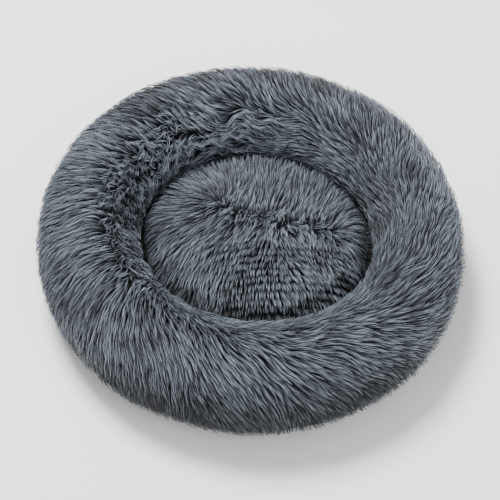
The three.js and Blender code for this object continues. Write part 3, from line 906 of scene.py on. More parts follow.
def floor_material(stage):
    """Matt emulsion, rolled on a smooth board, gives the eye a plain pale ground without a pattern."""
    material, add = start_material("Matt emulsion paint, pale")
    place = (add("ShaderNodeTexCoord"), "Object")
    roller = add("ShaderNodeTexNoise", {"Vector": place, "Scale": 1 / (9 * MM)})
    bump = add("ShaderNodeBump", {"Height": roller, "Distance": 0.05 * MM, "Strength": 0.1})
    return end_material(
        material, add,
        {"Base Color": tuple(stage.floor_colour), "Roughness": 0.85, "Specular IOR Level": 0.2,
         "Normal": bump},
    )


def binding_finish(sewing):
    """Ribbed grosgrain, made once: it gives the eye a dark, faintly lustrous tape."""
    name = "Polyester grosgrain binding"
    return bpy.data.materials.get(name) or woven_material(
        name, sewing.binding_colour, 0.02, 1.2 * MM, 0.7, sheen=0.2
    )


def thread_finish(sewing):
    """Spun and twisted thread, made once: it gives the eye a soft gloss on each stitch."""
    name = "Polyester sewing thread"
    return bpy.data.materials.get(name) or smooth_material(
        name, sewing.thread_colour, 0.06, 0.5 * MM, 0.5, 0.05 * MM
    )


# The pile


def backing_flare(angle):
    """How far the rim's backing leaves the insert as it nears the crease seam."""
    return (PILE_DEPTH - MM) * fading(np.degrees(angle), 192, 210)


def backing_surface(turn, angle):
    """The outside of the rim's backing."""
    outside = FIT_GAP + PLUSH_BACKING + backing_flare(angle) + rim_relief(turn, angle)
    return on_turn(turn, insert_point(turn, angle, outside))


def stroke_angle(turn, angle):
    """The comb's angle from straight outward in degrees, read from the strokes made by hand."""
    around = np.degrees(turn) % 360
    clocks, strokes = [*COMB_STROKES, 360], [*COMB_STROKES.values(), COMB_STROKES[0]]
    rows = [np.interp(around, clocks, row) for row in zip(*strokes)]
    level = np.clip(np.degrees(angle), COMB_HEIGHTS[0], COMB_HEIGHTS[-1])
    steps = zip(rows, rows[1:], COMB_HEIGHTS, COMB_HEIGHTS[1:])
    return rows[0] + sum((after - row) * fading(level, low, high) for row, after, low, high in steps)


def rim_skin():
    """The outside of the rim's backing, with how the pile on it is combed, as a grid to grow the pile on.

    A noise takes its cells round the bed and over the rim, and its seed.
    """
    turns, angles = round_turns(180), np.linspace(BASE_SEAM_ANGLE, CREASE_SEAM_ANGLE, 66)
    turn, angle = np.meshgrid(turns, angles, indexing="ij")
    points = backing_surface(turn, angle)
    step = 1e-4
    around = unit(backing_surface(turn + step, angle) - points)
    over = unit(backing_surface(turn, angle + step) - points)
    degrees = np.degrees(angle)
    noise = partial(smooth_noise, turn, (angle - BASE_SEAM_ANGLE) / (CREASE_SEAM_ANGLE - BASE_SEAM_ANGLE))
    right_wall, back_wall, tousled, upper_left, shaggy, messy, left_wall, front_lip = (
        fading(np.cos(turn - math.radians(middle)), *nearness) * fading(degrees, *section)
        for middle, nearness, section in ((p[0], p[1:3], p[3:]) for p in RIM_PATCHES.values())
    )
    to_back, to_front = np.sin(turn), -np.sin(turn)
    back = fading(to_back, -0.1, 0.6)
    under = fading(to_front, 0.6, 0.97)
    low = 1 - fading(degrees, -62, -30)
    crease = fading(degrees, 160, 205)
    in_crease = fading(degrees, 145 + 22 * back, 195 + 6 * back)
    crest_light = fading(degrees, 45, 75) * (1 - fading(degrees, 105, 140)) * (1 - fading(to_front, 0.0, 0.7))
    back_edge = fading(to_back, 0.3, 0.8) * fading(degrees, 15, 40) * (1 - fading(degrees, 75, 105))
    front_foot = fading(to_front, -0.2, 0.8) * (1 - fading(degrees, -15 + 24 * under, 35 + 23 * under))
    clump = noise(96, 30, 30)

    # How far the comb wanders in degrees, and where
    stroke = stroke_angle(turn, angle)
    for most, where, wander in (
        (16, 1, noise(26, 7, 21)), (15, 1, noise(70, 18, 22)), (75, messy, noise(64, 16, 23)),
        (60, in_crease, noise(84, 20, 26)), (45, front_lip, noise(96, 24, 29)), (60, tousled, clump),
    ):
        stroke = stroke + most * where * wander
    stroke = np.radians(stroke)[..., None]
    guide = place_mesh("rim_skin_guide", points, woven_faces(len(turns), len(angles), True, False))
    comb, out = around * np.sin(stroke) - over * np.cos(stroke), unit(np.cross(around, over))
    set_point_values(
        guide.data, {"comb": comb, "out": out},
        tousle=np.radians(90) * shaggy,
        depth=np.maximum(PILE_DEPTH * (1 - 0.4 * crease - 0.45 * low) - backing_flare(angle), MM),
        reach=1 - 0.25 * crease - 0.5 * low - 0.25 * shaggy + 0.12 * noise(40, 12, 24),
        cover=1 - 0.25 * crease - 0.5 * low - 0.12 * shaggy,
        # Painted shade and light: darker in the crease, low down, on the front foot, at the front lip, along
        # the back's outer edge, on the inner side walls and in the gaps of messy and tousled pile; lighter on
        # the crest and on the back and upper left inner walls. The last noise varies the tone at random.
        shade=0.58 - 0.5 * in_crease - 0.1 * low + 0.3 * back_wall - 0.04 * left_wall - 0.14 * right_wall
        - 0.55 * front_foot - 0.12 * front_lip * (0.6 + 0.8 * noise(90, 24, 28)) + 0.07 * crest_light
        - 0.42 * back_edge + 0.36 * upper_left - 0.15 * tousled * np.clip(clump, 0, 1)
        - 0.18 * messy * (0.4 + 1.6 * noise(60, 16, 27)) + 0.1 * noise(14, 5, 25),
    )
    set_sectors(guide.data, np.repeat(np.arange(len(turns)) * RIM_SECTORS // len(turns), len(angles) - 1))
    return guide


def seat_skin():
    """The outside of the seat's backing, with its comb away from the parting line."""
    count, rings, skirt, lip = 120, 34, 6, 2
    turns = round_turns(count)
    shares = np.linspace(0, 1, rings + 1)[1:] ** 0.9
    points = [seat_point(turns, s, CREASE_PILE_DEPTH, PILE_DEPTH) for s in shares]
    edge = points[-1]
    hem_radius, hem_height = seat_hem(turns)
    foot = edge.copy()
    foot[:, 2] = hem_height + PLUSH_BACKING
    hem = on_turn(turns, (hem_radius - 2 * MM, foot[:, 2]))
    points += [edge + (foot - edge) * k / skirt for k in range(1, skirt + 1)]
    points += [foot + (hem - foot) * k / lip for k in range(1, lip + 1)]
    faces = crown_faces(len(points), count)
    top = [*CROWN, BED_HEIGHT / 2 + SEAT_RISE - PILE_DEPTH]
    guide = place_mesh("seat_skin_guide", np.vstack([top, *points]), faces)
    at = np.array([v.co for v in guide.data.vertices])
    out = np.array([n.vector for n in guide.data.vertex_normals])

    # The way from the nearest place on the parting, and how far it is
    distance, away = np.ones(len(at)), np.zeros((len(at), 2))
    for start, end in zip(PARTING, PARTING[1:]):
        line = end - start
        share = np.clip((at[:, :2] - start) @ line / (line @ line), 0, 1)
        offset = at[:, :2] - start - share[:, None] * line
        far = np.linalg.norm(offset, axis=1)
        nearer = far < distance
        distance, away = np.where(nearer, far, distance), np.where(nearer[:, None], offset, away)
    x, y = (away / np.maximum(distance, 1e-6)[:, None]).T
    turn = np.arctan2(at[:, 1] - CROWN[1], at[:, 0] - CROWN[0])
    spread = np.clip(distance / (170 * MM), 0, 1)
    noise = partial(smooth_noise, turn, spread)
    bend = np.radians(14 * noise(12, 4, 31) + 14 * noise(34, 9, 32) + 18 * fading(spread, 0.1, 0.9))
    cos, sin = np.cos(bend), np.sin(bend)
    # Along the parting the pile is short and thick, and each place on it leans its own way
    parted = 1 - fading(distance, 3 * MM, 17 * MM)
    comb = np.stack([x * cos - y * sin, x * sin + y * cos, np.full_like(x, -1.4)], -1)
    comb[:, :2] += 1.6 * parted[:, None] * np.random.default_rng(34).uniform(-1, 1, (len(at), 2))
    comb = unit(comb - (comb * out).sum(1, keepdims=True) * out)

    # Where the knitted rows show, in millimetres to the right and to the front
    right, front = at[:, 0] / MM, -at[:, 1] / MM
    rows = 0.62 * fading(right, -85, 0) * (1 - fading(right, 110, 150))
    rows *= fading(front, -6, 30) * (1 - fading(front, 120, 150)) * (1 + 0.25 * noise(16, 6, 35))

    # At the front the pile ends in a gap, lowered and shortened, and the strands at its edge carry painted
    # shade, just where the rim hides the seat's edge from the camera
    to_front = -np.sin(turn)
    front = fading(to_front, -0.3, 0.3)
    skirt_share = np.r_[np.zeros(rings), np.linspace(1 / skirt, 1, skirt), np.ones(lip)]
    in_skirt, outward = (
        np.r_[0, np.repeat(row, count)] for row in (skirt_share, np.r_[shares, np.ones(skirt + lip)])
    )
    past = outward - 0.95 + 0.05 * fading(to_front, 0.3, 0.9)
    edge_shade = front * fading(past, -0.12, -0.03) * (0.7 + 0.7 * smooth_noise(turn, outward, 64, 12, 36))
    gap = np.maximum(in_skirt, front * fading(past, -0.08, 0))
    lowered = 3 * MM * fading(spread, 0.72, 1.0) + 8 * MM * gap
    set_point_values(
        guide.data, {"comb": comb, "out": out}, depth=PILE_DEPTH - lowered, rows=rows,
        reach=1 - 0.4 * in_skirt - 0.5 * parted - 0.5 * rows - 0.25 * front * fading(past, -0.18, -0.06),
        cover=1 + 0.3 * in_skirt + 2 * parted + 0.4 * rows,
        # Painted shade darkens the skirt down in the crease and the strands at the front gap's edge; a little
        # painted light brightens the parting
        shade=0.58 - 0.55 * in_skirt + 0.05 * parted - 0.5 * edge_shade,
    )
    middles = np.array([at[list(f)].mean(0) for f in faces])
    set_sectors(guide.data, np.where(middles[:, 1] > CROWN[1], 2, middles[:, 0] > CROWN[0]))
    return guide


def grow_pile(guide, name, sectors, node):
    """Grows the pile on a guide, one piece for each sector, and removes the guide."""
    plush = bpy.context.scene.pet_bed_plush
    tree = bpy.data.node_groups.get("Long plush pile") or pile_tree(line_tree())
    material = bpy.data.materials.get(PILE_FINISH) or pile_material(plush)
    for k in range(sectors):
        piece = add_object(f"{name}_{k + 1}", guide.data)
        grow(piece, tree, plush, {"Sector": k, "Material": material})
        bed_piece(piece, None, "long_pile_plush", node)
    mesh = guide.data
    bpy.data.objects.remove(guide)
    bpy.data.meshes.remove(mesh)


# Pieces


def bed_piece(obj, material, slot, *nodes):
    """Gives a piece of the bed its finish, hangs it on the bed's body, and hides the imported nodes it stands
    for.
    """
    if material:
        obj.data.materials.clear()
        obj.data.materials.append(material)
    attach(obj, "bed")
    if nodes:
        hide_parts(*nodes)
    return obj


def cloth_strip(name, node, material, slot, edge):
    """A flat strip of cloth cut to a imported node, which it stands for, with its edges turned in this far.

    Returns the node's corners.
    """
    low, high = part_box(node)
    strip = bed_piece(thin_strip(name, low, high, edge), material, slot, node)
    return low, high


def stitch_path(name, points, meets, slot):
    """Sews a row of stitches along points, with their backs down."""
    sewing = bpy.context.scene.pet_bed_sewing
    count = len(points)
    edges = [(i, (i + 1) % count) for i in range(count if meets else count - 1)]
    path = place_mesh(name, points, [], edges)
    set_point_values(path.data, {"up": np.tile((0.0, 0.0, -1.0), (count, 1))})
    tree = bpy.data.node_groups.get("Row of stitches") or stitch_tree()
    return bed_piece(grow(path, tree, sewing, {"Material": thread_finish(sewing)}), None, slot)


class PETBED_OT_stage(bpy.types.Operator):
    """Makes the floor, the soft studio lights and the camera"""

    bl_idname = "petbed.stage"
    bl_label = "Floor, lights and camera"

    def execute(self, context):
        scene, stage = context.scene, context.scene.pet_bed_stage
        corners = [(-6, -6, 0), (6, -6, 0), (6, 6, 0), (-6, 6, 0)]
        floor = place_mesh("studio_floor", corners, [(0, 1, 2, 3)])
        floor.data.materials.append(floor_material(stage))
        # A key light from the back left and a wider, weaker one from the front right
        for name, place, size, power in (
            ("soft_key", (-0.6, 0.85, 2.5), 0.9, 150), ("soft_fill", (0.9, -1.8, 1.9), 2.0, 36),
        ):
            light = bpy.data.lights.new(name, "AREA")
            light.size, light.energy = size, power
            lamp = add_object(name, light)
            lamp.location = place
            lamp.rotation_euler = (-lamp.location.normalized()).to_track_quat("-Z", "Y").to_euler()
        scene.world = bpy.data.worlds.new("studio")
        scene.world.use_nodes = True
        sky = scene.world.node_tree.nodes["Background"].inputs
        sky["Color"].default_value, sky["Strength"].default_value = linear_colour("fbfbfb"), 0.7

        lens = bpy.data.cameras.new("photo_camera")
        lens.lens, lens.sensor_width = stage.focal_length, 36
        lens.shift_x, lens.shift_y = -0.0006, -0.0084
        lens.clip_start, lens.clip_end = 0.05, 50
        camera = scene.camera = add_object("photo_camera", lens)
        tilt, back = stage.camera_elevation, stage.camera_distance
        camera.location = (0, -back * math.cos(tilt), 60 * MM + back * math.sin(tilt))
        camera.rotation_euler = (math.pi / 2 - tilt, 0, 0)
        return {"FINISHED"}


def plump(obj):
    """Fills a casing by a short cloth simulation. Returns how far each point moved, up to a limit."""
    start = np.array([v.co for v in obj.data.vertices])
    scene = bpy.context.scene
    sewing = scene.pet_bed_sewing
    cloth = obj.modifiers.new("Plump", "CLOTH")
    cloth.settings.quality = 4
    cloth.settings.mass = 0.3
    cloth.settings.use_pressure = True
    cloth.settings.uniform_pressure_force = sewing.plump_pressure
    cloth.settings.effector_weights.gravity = 0
    cloth.collision_settings.use_collision = False
    cloth.point_cache.frame_start, cloth.point_cache.frame_end = 1, sewing.plump_frames
    for step in range(1, sewing.plump_frames + 1):
        scene.frame_set(step)
    shown = obj.evaluated_get(bpy.context.evaluated_depsgraph_get())
    moved = np.array([v.co for v in shown.data.vertices]) - start
    obj.modifiers.remove(cloth)
    scene.frame_set(1)
    far = np.linalg.norm(moved, axis=1, keepdims=True)
    return moved * np.minimum(1, PLUMP_REACH / np.maximum(far, 1e-9))


def settle_rim():
    """Lets the rim's stuffing settle unevenly, plumps it, and keeps how far it lies inside its full shape."""
    around, over = 96, 32
    angles = SECTION_START + np.linspace(0, FULL_TURN, over + 1)
    turn, angle = np.meshgrid(round_turns(around), angles, indexing="ij")
    noise = partial(smooth_noise, turn, (angle + 3) / FULL_TURN)
    uneven = MM * (1.1 + 1.1 * noise(17, 5, 41) + 0.7 * noise(43, 9, 42))
    hollow = -np.clip(uneven, LEAST_SETTLED, RIM_SETTLES)
    hollow[:, -1] = hollow[:, 0]
    inside, outside = (on_turn(turn, insert_point(turn, angle, h)) for h in (hollow, hollow + MM))
    body = place_mesh("rim_stuffing_draft", inside[:, :-1], woven_faces(around, over, True, True))
    moved = plump(face_outwards(body)).reshape(around, over, 3)
    grown = (moved * unit(outside - inside)[:, :-1]).sum(-1)
    grown = np.concatenate([grown, grown[:, :1]], 1)
    settled["rim"] = np.clip(hollow + grown, -RIM_SETTLES, 0)
    bpy.data.objects.remove(body)


def settle_seat():
    """Does the same for the seat's pad."""
    count, rings = 96, 20
    settled["seat"] = np.zeros((count, rings + 1))
    turns, shares = round_turns(count), np.linspace(0, 1, rings + 1)
    turn, share = np.meshgrid(turns, shares, indexing="ij")
    noise = partial(smooth_noise, turn, share)
    uneven = MM * (1.3 + fading(share, 0, 0.12) * (1.2 * noise(9, 4, 43) + 0.8 * noise(21, 7, 44)))
    hollow = -np.clip(uneven, LEAST_SETTLED, SEAT_SETTLES)
    top = np.array([seat_point(turns, s, CREASE_COVER + FIT_GAP, COVER + FIT_GAP) for s in shares])
    top[..., 2] += hollow.T
    side = top[-1].copy()
    side[:, 2] = PAD_UNDERSIDE + PAD_EDGE_RADIUS
    under = side * (0.9, 0.9, 0) + (0, 0, PAD_UNDERSIDE)
    lower = np.array([*top[1:], side, under])
    body = domed_mesh("seat_stuffing_draft", top[0].mean(0), lower, [[*CROWN, PAD_UNDERSIDE]])
    rise = plump(body)[:, 2]
    grown = np.concatenate([np.full(count, rise[0]), rise[1 : 1 + rings * count]]).reshape(-1, count)
    settled["seat"] = np.clip(hollow + grown.T, -SEAT_SETTLES, 0)
    bpy.data.objects.remove(body)


def section_loops(turns, angles, outside, floor=0.0):
    """Loops of points round the bed at section angles, this far outside the insert and above a floor."""
    loops = []
    for angle, away in zip(angles, outside + 0 * angles):
        angle = angle + 0 * turns
        loop = on_turn(turns, insert_point(turns, angle, away + rim_relief(turns, angle)))
        loop[:, 2] = np.maximum(loop[:, 2], floor)
        loops.append(loop)
    return loops


def pad_mesh(name, turns, inset):
    """The seat's pad, or a body inside it, from its crown over its side to its underside."""
    drop, under = COVER + FIT_GAP + inset, PAD_UNDERSIDE + inset
    radius = seat_edge(turns, CREASE_COVER + FIT_GAP + inset)
    rings = [seat_point(turns, s, CREASE_COVER + FIT_GAP + inset, drop) for s in np.linspace(0, 1, 19)[1:]]
    rings += [on_turn(turns, (radius, under + height)) for height in PAD_SIDE_HEIGHTS]
    for bend in np.linspace(0, math.pi / 2, 6):
        inward, down = PAD_EDGE_RADIUS * (1 - math.cos(bend)), PAD_EDGE_RADIUS * (1 - math.sin(bend))
        rings.append(on_turn(turns, (radius - inward, under + down)))
    for share in (0.66, 0.33):
        rings.append(SEAT_MIDDLE * (1 - share) + on_turn(turns, (radius - PAD_EDGE_RADIUS, under)) * share)
        rings[-1][:, 2] = under
    return domed_mesh(name, crown_point(drop), np.array(rings), [[*SEAT_MIDDLE[:2], under]])


class PETBED_OT_inserts(bpy.types.Operator):
    """Makes the two stuffed inserts: fibre, casing and the tape that closes each casing"""

    bl_idname = "petbed.inserts"
    bl_label = "Stuffed inserts"

    def execute(self, context):
        sewing = context.scene.pet_bed_sewing
        settle_rim()
        settle_seat()
        # Plain weave gives the eye a dull off-white cloth with a faint grid
        casing = woven_material(
            "Polyester lining cloth, plain woven", sewing.casing_colour, 0.5, 0.9 * MM, 0.85
        )
        # Carding gives the eye white tangled wool with soft hollows, 8 mm across
        fibre = grained_material(
            "Hollow polyester fibre, carded", (linear_colour("c9c8c3"), sewing.filling_colour),
            ("Noise", {"Scale": 1 / (8 * MM), "Detail": 6.0, "Distortion": 1.2}),
            {"Distance": 2 * MM, "Strength": 0.8},
            {"Roughness": 0.95, "Specular IOR Level": 0.1, "Sheen Weight": 0.4},
        )
        # Twill weave gives the eye a firm, dull strip that is darker than the casing
        tape = woven_material("Cotton twill tape", sewing.closing_colour, 0.4, 1.1 * MM, 0.9)
        turns = round_turns(120)
        rest = PANEL_CLOTH + FIT_GAP
        sweep = np.linspace(SECTION_START, SLIT_LOW_ANGLE, 40)
        walls = section_loops(turns, sweep, 0, rest)
        walls += section_loops(turns, sweep[::-1], -CASING_CLOTH, rest + CASING_CLOTH)
        within = CASING_CLOTH + FIT_GAP
        core = section_loops(turns, round_turns(40) + SECTION_START, -within, rest + within)
        for name, loops, finish, slot, node in (
            ("rim_casing_cloth", walls, casing, "insert_cloth", "rim_insert_casing"),
            ("rim_stuffing", core, fibre, "fibre_filling", "rim_insert_filling"),
        ):
            bed_piece(ring_mesh(name, loops), finish, slot, node)

        low, high = (
            np.stack(insert_point(turns, a + 0 * turns, 0), -1) for a in (SLIT_LOW_ANGLE, SLIT_HIGH_ANGLE)
        )
        along, middle = unit(high - low), (low + high) / 2
        out = np.stack([along[:, 1], -along[:, 0]], -1)
        corners = [
            middle + along * CLOSING_TAPE_WIDTH * across + out * (FIT_GAP + CLOSING_TAPE_CLOTH * away)
            for across, away in ((-0.5, 0), (0.5, 0), (0.5, 1), (-0.5, 1))
        ]
        closing = ring_mesh("rim_slit_tape", [on_turn(turns, spot.T) for spot in corners])
        bed_piece(closing, tape, "closing_tape", "rim_casing_closing_tape")

        cloth, lining, stuffing = (
            pad_mesh(name, turns, inset)
            for name, inset in (
                ("seat_casing_cloth", 0), ("seat_lining", CASING_CLOTH), ("seat_stuffing", within),
            )
        )
        lining.data.flip_normals()
        both = bmesh.new()
        for obj in (cloth, lining):
            both.from_mesh(obj.data)
        both.to_mesh(cloth.data)
        both.free()
        bpy.data.objects.remove(lining)
        bed_piece(cloth, casing, "insert_cloth", "seat_insert_casing")
        bed_piece(stuffing, fibre, "fibre_filling", "seat_insert_filling")

        low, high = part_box("seat_casing_closing_tape")
        side = CREASE_COVER + FIT_GAP
        reach = math.asin((high.x - low.x) / 2 / seat_edge(math.pi / 2, side))
        back = math.pi / 2 + np.linspace(-reach, reach, 25)
        edge, heights = seat_edge(back, side), np.linspace(low.z, high.z, 3)
        sheets = (
            np.stack([on_turn(back, (edge + away, height)) for height in heights], 1)
            for away in (FIT_GAP, FIT_GAP + CLOSING_TAPE_CLOTH)
        )
        bed_piece(slab_mesh("seat_slit_tape", *sheets), tape, "closing_tape", "seat_casing_closing_tape")
        return {"FINISHED"}


class PETBED_OT_backing(bpy.types.Operator):
    """Makes the knitted backing of the plush, on the rim and on the seat"""

    bl_idname = "petbed.backing"
    bl_label = "Plush backing"

    def execute(self, context):
        plush = context.scene.pet_bed_plush
        # Warp knitting gives the eye dark, dull rows of small loops, drawn 1.6 mm apart
        material = grained_material(
            # Its second colour is the near black that paints shade at the pile's roots
            "Warp-knitted polyester backing, slate", (plush.backing_colour, plush.root_shade_colour),
            ("Voronoi", {"Scale": 1 / (1.6 * MM)}), {"Distance": 0.4 * MM, "Strength": 0.6},
            {"Roughness": 0.9, "Specular IOR Level": 0.15},
        )
        turns = round_turns(120)
        angles = np.linspace(BASE_SEAM_ANGLE, CREASE_SEAM_ANGLE, 48)
        inside = FIT_GAP + backing_flare(angles)
        rim = ring_mesh(
            "rim_plush_backing",
            section_loops(turns, angles, inside + PLUSH_BACKING)
            + section_loops(turns, angles[::-1], inside[::-1]),
        )
        hem_radius, hem_height = seat_hem(turns)
        shells = []
        for inset, drop, lift in (
            (CREASE_PILE_DEPTH, PILE_DEPTH, PLUSH_BACKING), (CREASE_COVER, COVER, FIT_GAP),
        ):
            rings = [seat_point(turns, s, inset, drop) for s in np.linspace(0, 1, 25)[1:]]
            foot = rings[-1].copy()
            foot[:, 2] = hem_height + lift
            shells.append([*rings, foot, on_turn(turns, (hem_radius - MM, foot[:, 2]))])
        top = crown_point(PILE_DEPTH)
        rings = np.array(shells[0] + shells[1][::-1])
        seat = domed_mesh("seat_plush_backing", top, rings, top - (0, 0, PLUSH_BACKING))
        for obj, node in ((rim, "rim_fur_cover"), (seat, "seat_fur_panel")):
            bed_piece(obj, material, "long_pile_plush", node)
        return {"FINISHED"}


class PETBED_OT_rim_pile(bpy.types.Operator):
    """Grows the long pile of the rim, in sectors round the bed"""

    bl_idname = "petbed.rim_pile"
    bl_label = "Rim pile"

    def execute(self, context):
        grow_pile(rim_skin(), "rim_pile", RIM_SECTORS, "rim_fur_cover")
        return {"FINISHED"}


class PETBED_OT_seat_pile(bpy.types.Operator):
    """Grows the long pile of the seat, away from its parting, in three pieces"""

    bl_idname = "petbed.seat_pile"
    bl_label = "Seat pile"

    def execute(self, context):
        grow_pile(seat_skin(), "seat_pile", SEAT_SECTORS, "seat_fur_panel")
        return {"FINISHED"}


def seam_tape(name, node, turns, inner, low_edge, high_edge, low, high):
    """A tape round the bed over a seam, from its inner radius to its low and high outer ones."""
    corners = ((inner, low), (low_edge, low), (high_edge, high), (inner, high))
    tape = ring_mesh(name, [on_turn(turns, corner) for corner in corners])
    bed_piece(tape, binding_finish(bpy.context.scene.pet_bed_sewing), "seam_binding", node)


class PETBED_OT_seams(bpy.types.Operator):
    """Makes the tapes over the crease seam and the base seam, and the crease seam's stitches"""

    bl_idname = "petbed.seams"
    bl_label = "Seam bindings"

    def execute(self, context):
        turns = round_turns(160)
        seam_radius, seam_height = pile_point(turns, CREASE_SEAM_ANGLE)
        hem_radius, hem_height = seat_hem(turns)
        low, high = seam_height + FIT_GAP, hem_height - FIT_GAP
        low_edge, high_edge = seam_radius - CREASE_GAP, hem_radius - CREASE_GAP
        inner = high_edge - SEAM_BINDING_WIDTH
        seam_tape("crease_seam_tape", "seat_seam_binding", turns, inner, low_edge, high_edge, low, high)
        path = on_turn(turns, (inner + SEAM_TO_STITCHES, low))
        stitch_path("crease_seam_stitches", path, True, "seam_binding")

        low, high = (corner.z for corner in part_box("base_seam_binding"))
        outer = pile_point(turns, BASE_SEAM_ANGLE)[0] - BASE_SET_BACK
        inner = outer - BASE_BINDING_WIDTH
        seam_tape("base_seam_tape", "base_seam_binding", turns, inner, outer, outer, low, high)
        return {"FINISHED"}


def base_radii(turn):
    """Radii of the raised middle's edge, the foot of its slope and the base's edge."""
    raised = pile_point(turn, CREASE_SEAM_ANGLE)[0] - RECESS_INSET
    return raised, raised + RECESS_SLOPE, pile_point(turn, BASE_SEAM_ANGLE)[0] - BASE_SET_BACK


def base_height(points, raised_level):
    """The base's underside over points on the floor: flat under the rim and raised in the middle."""
    raised, foot, _ = base_radii(np.arctan2(points[..., 1], points[..., 0]))
    radius = np.hypot(points[..., 0], points[..., 1])
    return raised_level * (1 - np.clip((radius - raised) / (foot - raised), 0, 1))


def base_panel(name, side, slot_from, slot_to, lift, raised_level):
    """One half of the base, from its edge to the joint, which opens into a slot for the zip."""
    right, left = (base_radii(turn)[2] - 0.5 * MM for turn in (0.0, math.pi))
    half_joint, ends, rows = 0.15 * MM, 16, 56
    across = np.concatenate([
        np.linspace(-left, slot_from, ends), np.linspace(slot_from, slot_to, rows),
        np.linspace(slot_to, right, ends),
    ])
    turns = side * np.linspace(math.pi, 0, len(across))
    inner = np.stack([across, np.full_like(across, side * half_joint), 0 * across], -1)
    inner[ends:-ends, 1] = side * ZIP_SLOT_HALF
    outer = on_turn(turns, (base_radii(turns)[2], 0))
    outer[:, 1] = side * np.maximum(side * outer[:, 1], half_joint + 0.2 * MM)
    shares = np.linspace(0, 1, rows)[None, :, None]
    lower = inner[:, None] * (1 - shares) + outer[:, None] * shares
    upper = lower.copy()
    level = base_height(lower, raised_level)
    lower[..., 2], upper[..., 2] = np.maximum(level, lift), level + PANEL_CLOTH
    return slab_mesh(name, lower, upper)


class PETBED_OT_base(bpy.types.Operator):
    """Makes the base cloth with its grip dots, the join tapes and the blank label"""

    bl_idname = "petbed.base"
    bl_label = "Base cloth and label"

    def execute(self, context):
        sewing = context.scene.pet_bed_sewing
        # Coated oxford gives the eye a dark, smooth cloth with a fine grid
        cloth = woven_material("Polyester oxford cloth, coated", sewing.base_colour, 0.03, 1.2 * MM, 0.75)
        # Printed rubber gives the eye small half-matt black dots
        rubber = smooth_material(
            "Silicone rubber dots, printed", sewing.dot_colour, 0.015, 0.4 * MM, 0.55, 0.03 * MM
        )
        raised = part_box("care_label")[1].z + FIT_GAP
        slot_from, slot_to = (corner.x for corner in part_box("zip_tape_front"))
        slot_from, slot_to = slot_from + ZIP_TAPE_LAP, slot_to - ZIP_TAPE_LAP
        for place, side in (("front", -1), ("back", 1)):
            panel = base_panel(f"base_cloth_{place}", side, slot_from, slot_to, sewing.dot_height, raised)
            bed_piece(panel, cloth, "base_cloth", f"base_panel_{place}")
            low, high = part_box(f"base_panel_{place}")

        # The dots stand in staggered rows under the rim, clear of the joint and the seams
        spacing = sewing.dot_spacing
        between_rows = spacing * math.sqrt(0.75)
        columns, rows = (int(BED_DIAMETER / 2 / step) for step in (spacing, between_rows))
        places = np.array([
            ((i + 0.5 * (j % 2)) * spacing, j * between_rows, 0)
            for j in range(-rows, rows + 1) for i in range(-columns, columns + 1)
        ])
        radius = np.hypot(places[:, 0], places[:, 1])
        _, foot, edge = base_radii(np.arctan2(places[:, 1], places[:, 0]))
        keep = (radius > foot + 4 * MM) & (radius < edge - 9 * MM) & (np.abs(places[:, 1]) > sewing.dot_width)
        dots = place_mesh("base_grip_dots", places[keep], [])
        grow(dots, dot_tree(), sewing, {"Dot height": sewing.dot_height + DOT_SINK, "Material": rubber})
        bed_piece(dots, None, "base_cloth")
        turns = round_turns(240)
        path = on_turn(turns, (base_radii(turns)[2] - SEAM_TO_STITCHES, sewing.dot_height + STITCH_SINK))
        stitch_path("base_edge_stitches", path, True, "base_cloth")

        for place in ("left", "right"):
            low, high = cloth_strip(
                f"join_tape_{place}", f"base_join_tape_{place}", binding_finish(sewing), "seam_binding",
                0.15 * MM,
            )
            (x0, y0), (x1, y1) = (
                (corner.x + inward, corner.y + inward)
                for corner, inward in ((low, HEM_TO_STITCHES), (high, -HEM_TO_STITCHES))
            )
            path = [(x, y, low.z) for x, y in ((x0, y0), (x1, y0), (x1, y1), (x0, y1))]
            stitch_path(f"join_tape_stitches_{place}", path, True, "seam_binding")

        # Satin weave gives the eye a smooth off-white label with a soft gloss
        satin = woven_material(
            "Polyester satin label cloth", sewing.label_colour, 0.5, 0.8 * MM, 0.45, depth=0.05 * MM
        )
        low, high = cloth_strip(
            "blank_label", "care_label", satin, "label_cloth", 0.1 * MM
        )
        y = low.y + HEM_TO_STITCHES
        path = np.linspace((low.x + MM, y, low.z), (high.x - MM, y, low.z), 12)
        stitch_path("label_stitches", path, False, "label_cloth")
        return {"FINISHED"}


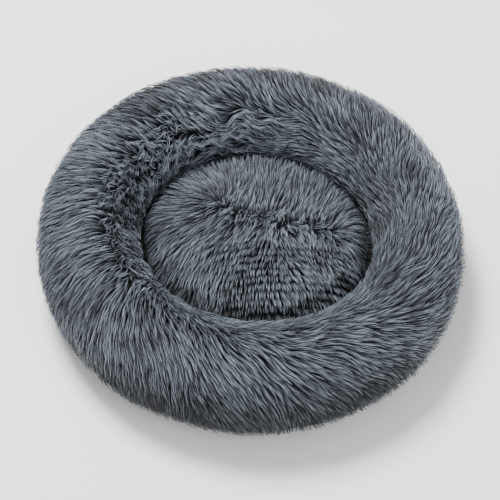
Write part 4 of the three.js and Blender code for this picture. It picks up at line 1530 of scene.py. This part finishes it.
class PETBED_OT_zip(bpy.types.Operator):
    """Makes the zip's tapes and teeth, and finishes its slider, tab and stops"""

    bl_idname = "petbed.zip"
    bl_label = "Zip"

    def execute(self, context):
        sewing = context.scene.pet_bed_sewing
        # Warp knitting gives the eye a dull tape with fine ribs
        knitted = woven_material(
            "Polyester zip tape, warp knitted", sewing.zip_tape_colour, 0.025, 0.9 * MM, 0.8
        )
        # Moulding gives the eye smooth teeth with a soft gloss
        acetal = smooth_material(
            "Acetal zip teeth, moulded", sewing.chain_colour, 0.015, 0.8 * MM, 0.35, 0.02 * MM
        )
        # Paint over a casting gives the eye a black skin with a slight orange peel
        paint = smooth_material(
            "Die-cast zinc, painted black", sewing.metal_colour, 0.01, 0.3 * MM, 0.38, 0.02 * MM
        )
        teeth_tree = tooth_tree()
        pitch = sewing.tooth_pitch
        width = 0.4 * pitch
        for place, side in (("front", -1), ("back", 1)):
            low, high = cloth_strip(
                f"zip_cloth_{place}", f"zip_tape_{place}", knitted, "zip_tape", 0.12 * MM,
            )
            ends = ((x, side * JOINT_TO_STITCHES, low.z) for x in (low.x + 2 * MM, high.x - 2 * MM))
            path = np.linspace(*ends, 40)
            stitch_path(f"zip_stitches_{place}", path, False, "zip_tape")

            # The bead lies from 1.1 to 3.1 mm from the joint, and its teeth reach 0.8 mm past the joint
            low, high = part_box(f"zip_chain_{place}")
            bead_from, bead_to = sorted((side * 1.1 * MM, side * 3.1 * MM))
            bead = rounded_block(
                f"zip_teeth_{place}", (low.x, bead_from, low.z), (high.x, bead_to, high.z), 0.3 * MM
            )
            tooth_from, tooth_to = sorted((-side * 0.8 * MM, side * 2.1 * MM))
            tooth = rounded_block(
                "tooth_draft", (0, tooth_from, low.z), (width, tooth_to, high.z), 0.35 * MM
            )
            first = low.x + (pitch / 2 if side > 0 else 0)
            count = int((high.x - width - first) / pitch) + 1
            grow(
                bead, teeth_tree, sewing,
                {"Tooth": tooth, "First tooth": (first, 0, 0), "Teeth": count, "Material": acetal},
            )
            bpy.data.objects.remove(tooth)
            bed_piece(bead, None, "zip_chain", f"zip_chain_{place}")
        for part in ("slider", "pull_tab", "bottom_stop", "top_stop_front", "top_stop_back"):
            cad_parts["zip_" + part].material_slots[0].material = paint
        return {"FINISHED"}


class PETBED_PT_panel(bpy.types.Panel):
    """Lists the steps that dress the bed, with their sizes and colours"""

    bl_label = "Round pet bed"
    bl_idname = "PETBED_PT_panel"
    bl_space_type = "VIEW_3D"
    bl_region_type = "UI"
    bl_category = "Pet Bed"

    def draw(self, context):
        for step in STEPS:
            self.layout.operator(step.bl_idname)
        scene = context.scene
        for group in (scene.pet_bed_plush, scene.pet_bed_sewing, scene.pet_bed_stage):
            box = self.layout.box()
            for name in group.bl_rna.properties.keys():
                if name not in ("rna_type", "name"):
                    box.prop(group, name)


STEPS = (
    PETBED_OT_stage, PETBED_OT_inserts, PETBED_OT_backing, PETBED_OT_rim_pile, PETBED_OT_seat_pile,
    PETBED_OT_seams, PETBED_OT_base, PETBED_OT_zip,
)
CLASSES = (PetBedPlush, PetBedSewing, PetBedStage, *STEPS, PETBED_PT_panel)


def register():
    """Makes the sizes, the steps and the panel known to Blender."""
    for kind in CLASSES:
        bpy.utils.register_class(kind)
    bpy.types.Scene.pet_bed_plush = PointerProperty(type=PetBedPlush)
    bpy.types.Scene.pet_bed_sewing = PointerProperty(type=PetBedSewing)
    bpy.types.Scene.pet_bed_stage = PointerProperty(type=PetBedStage)


def unregister():
    """Takes them away again."""
    del bpy.types.Scene.pet_bed_stage
    del bpy.types.Scene.pet_bed_sewing
    del bpy.types.Scene.pet_bed_plush
    for kind in reversed(CLASSES):
        bpy.utils.unregister_class(kind)


def main():
    """Dresses the bed step by step."""
    register()
    for step in STEPS:
        group, name = step.bl_idname.split(".")
        getattr(getattr(bpy.ops, group), name)()


if __name__ == "__main__":
    main()
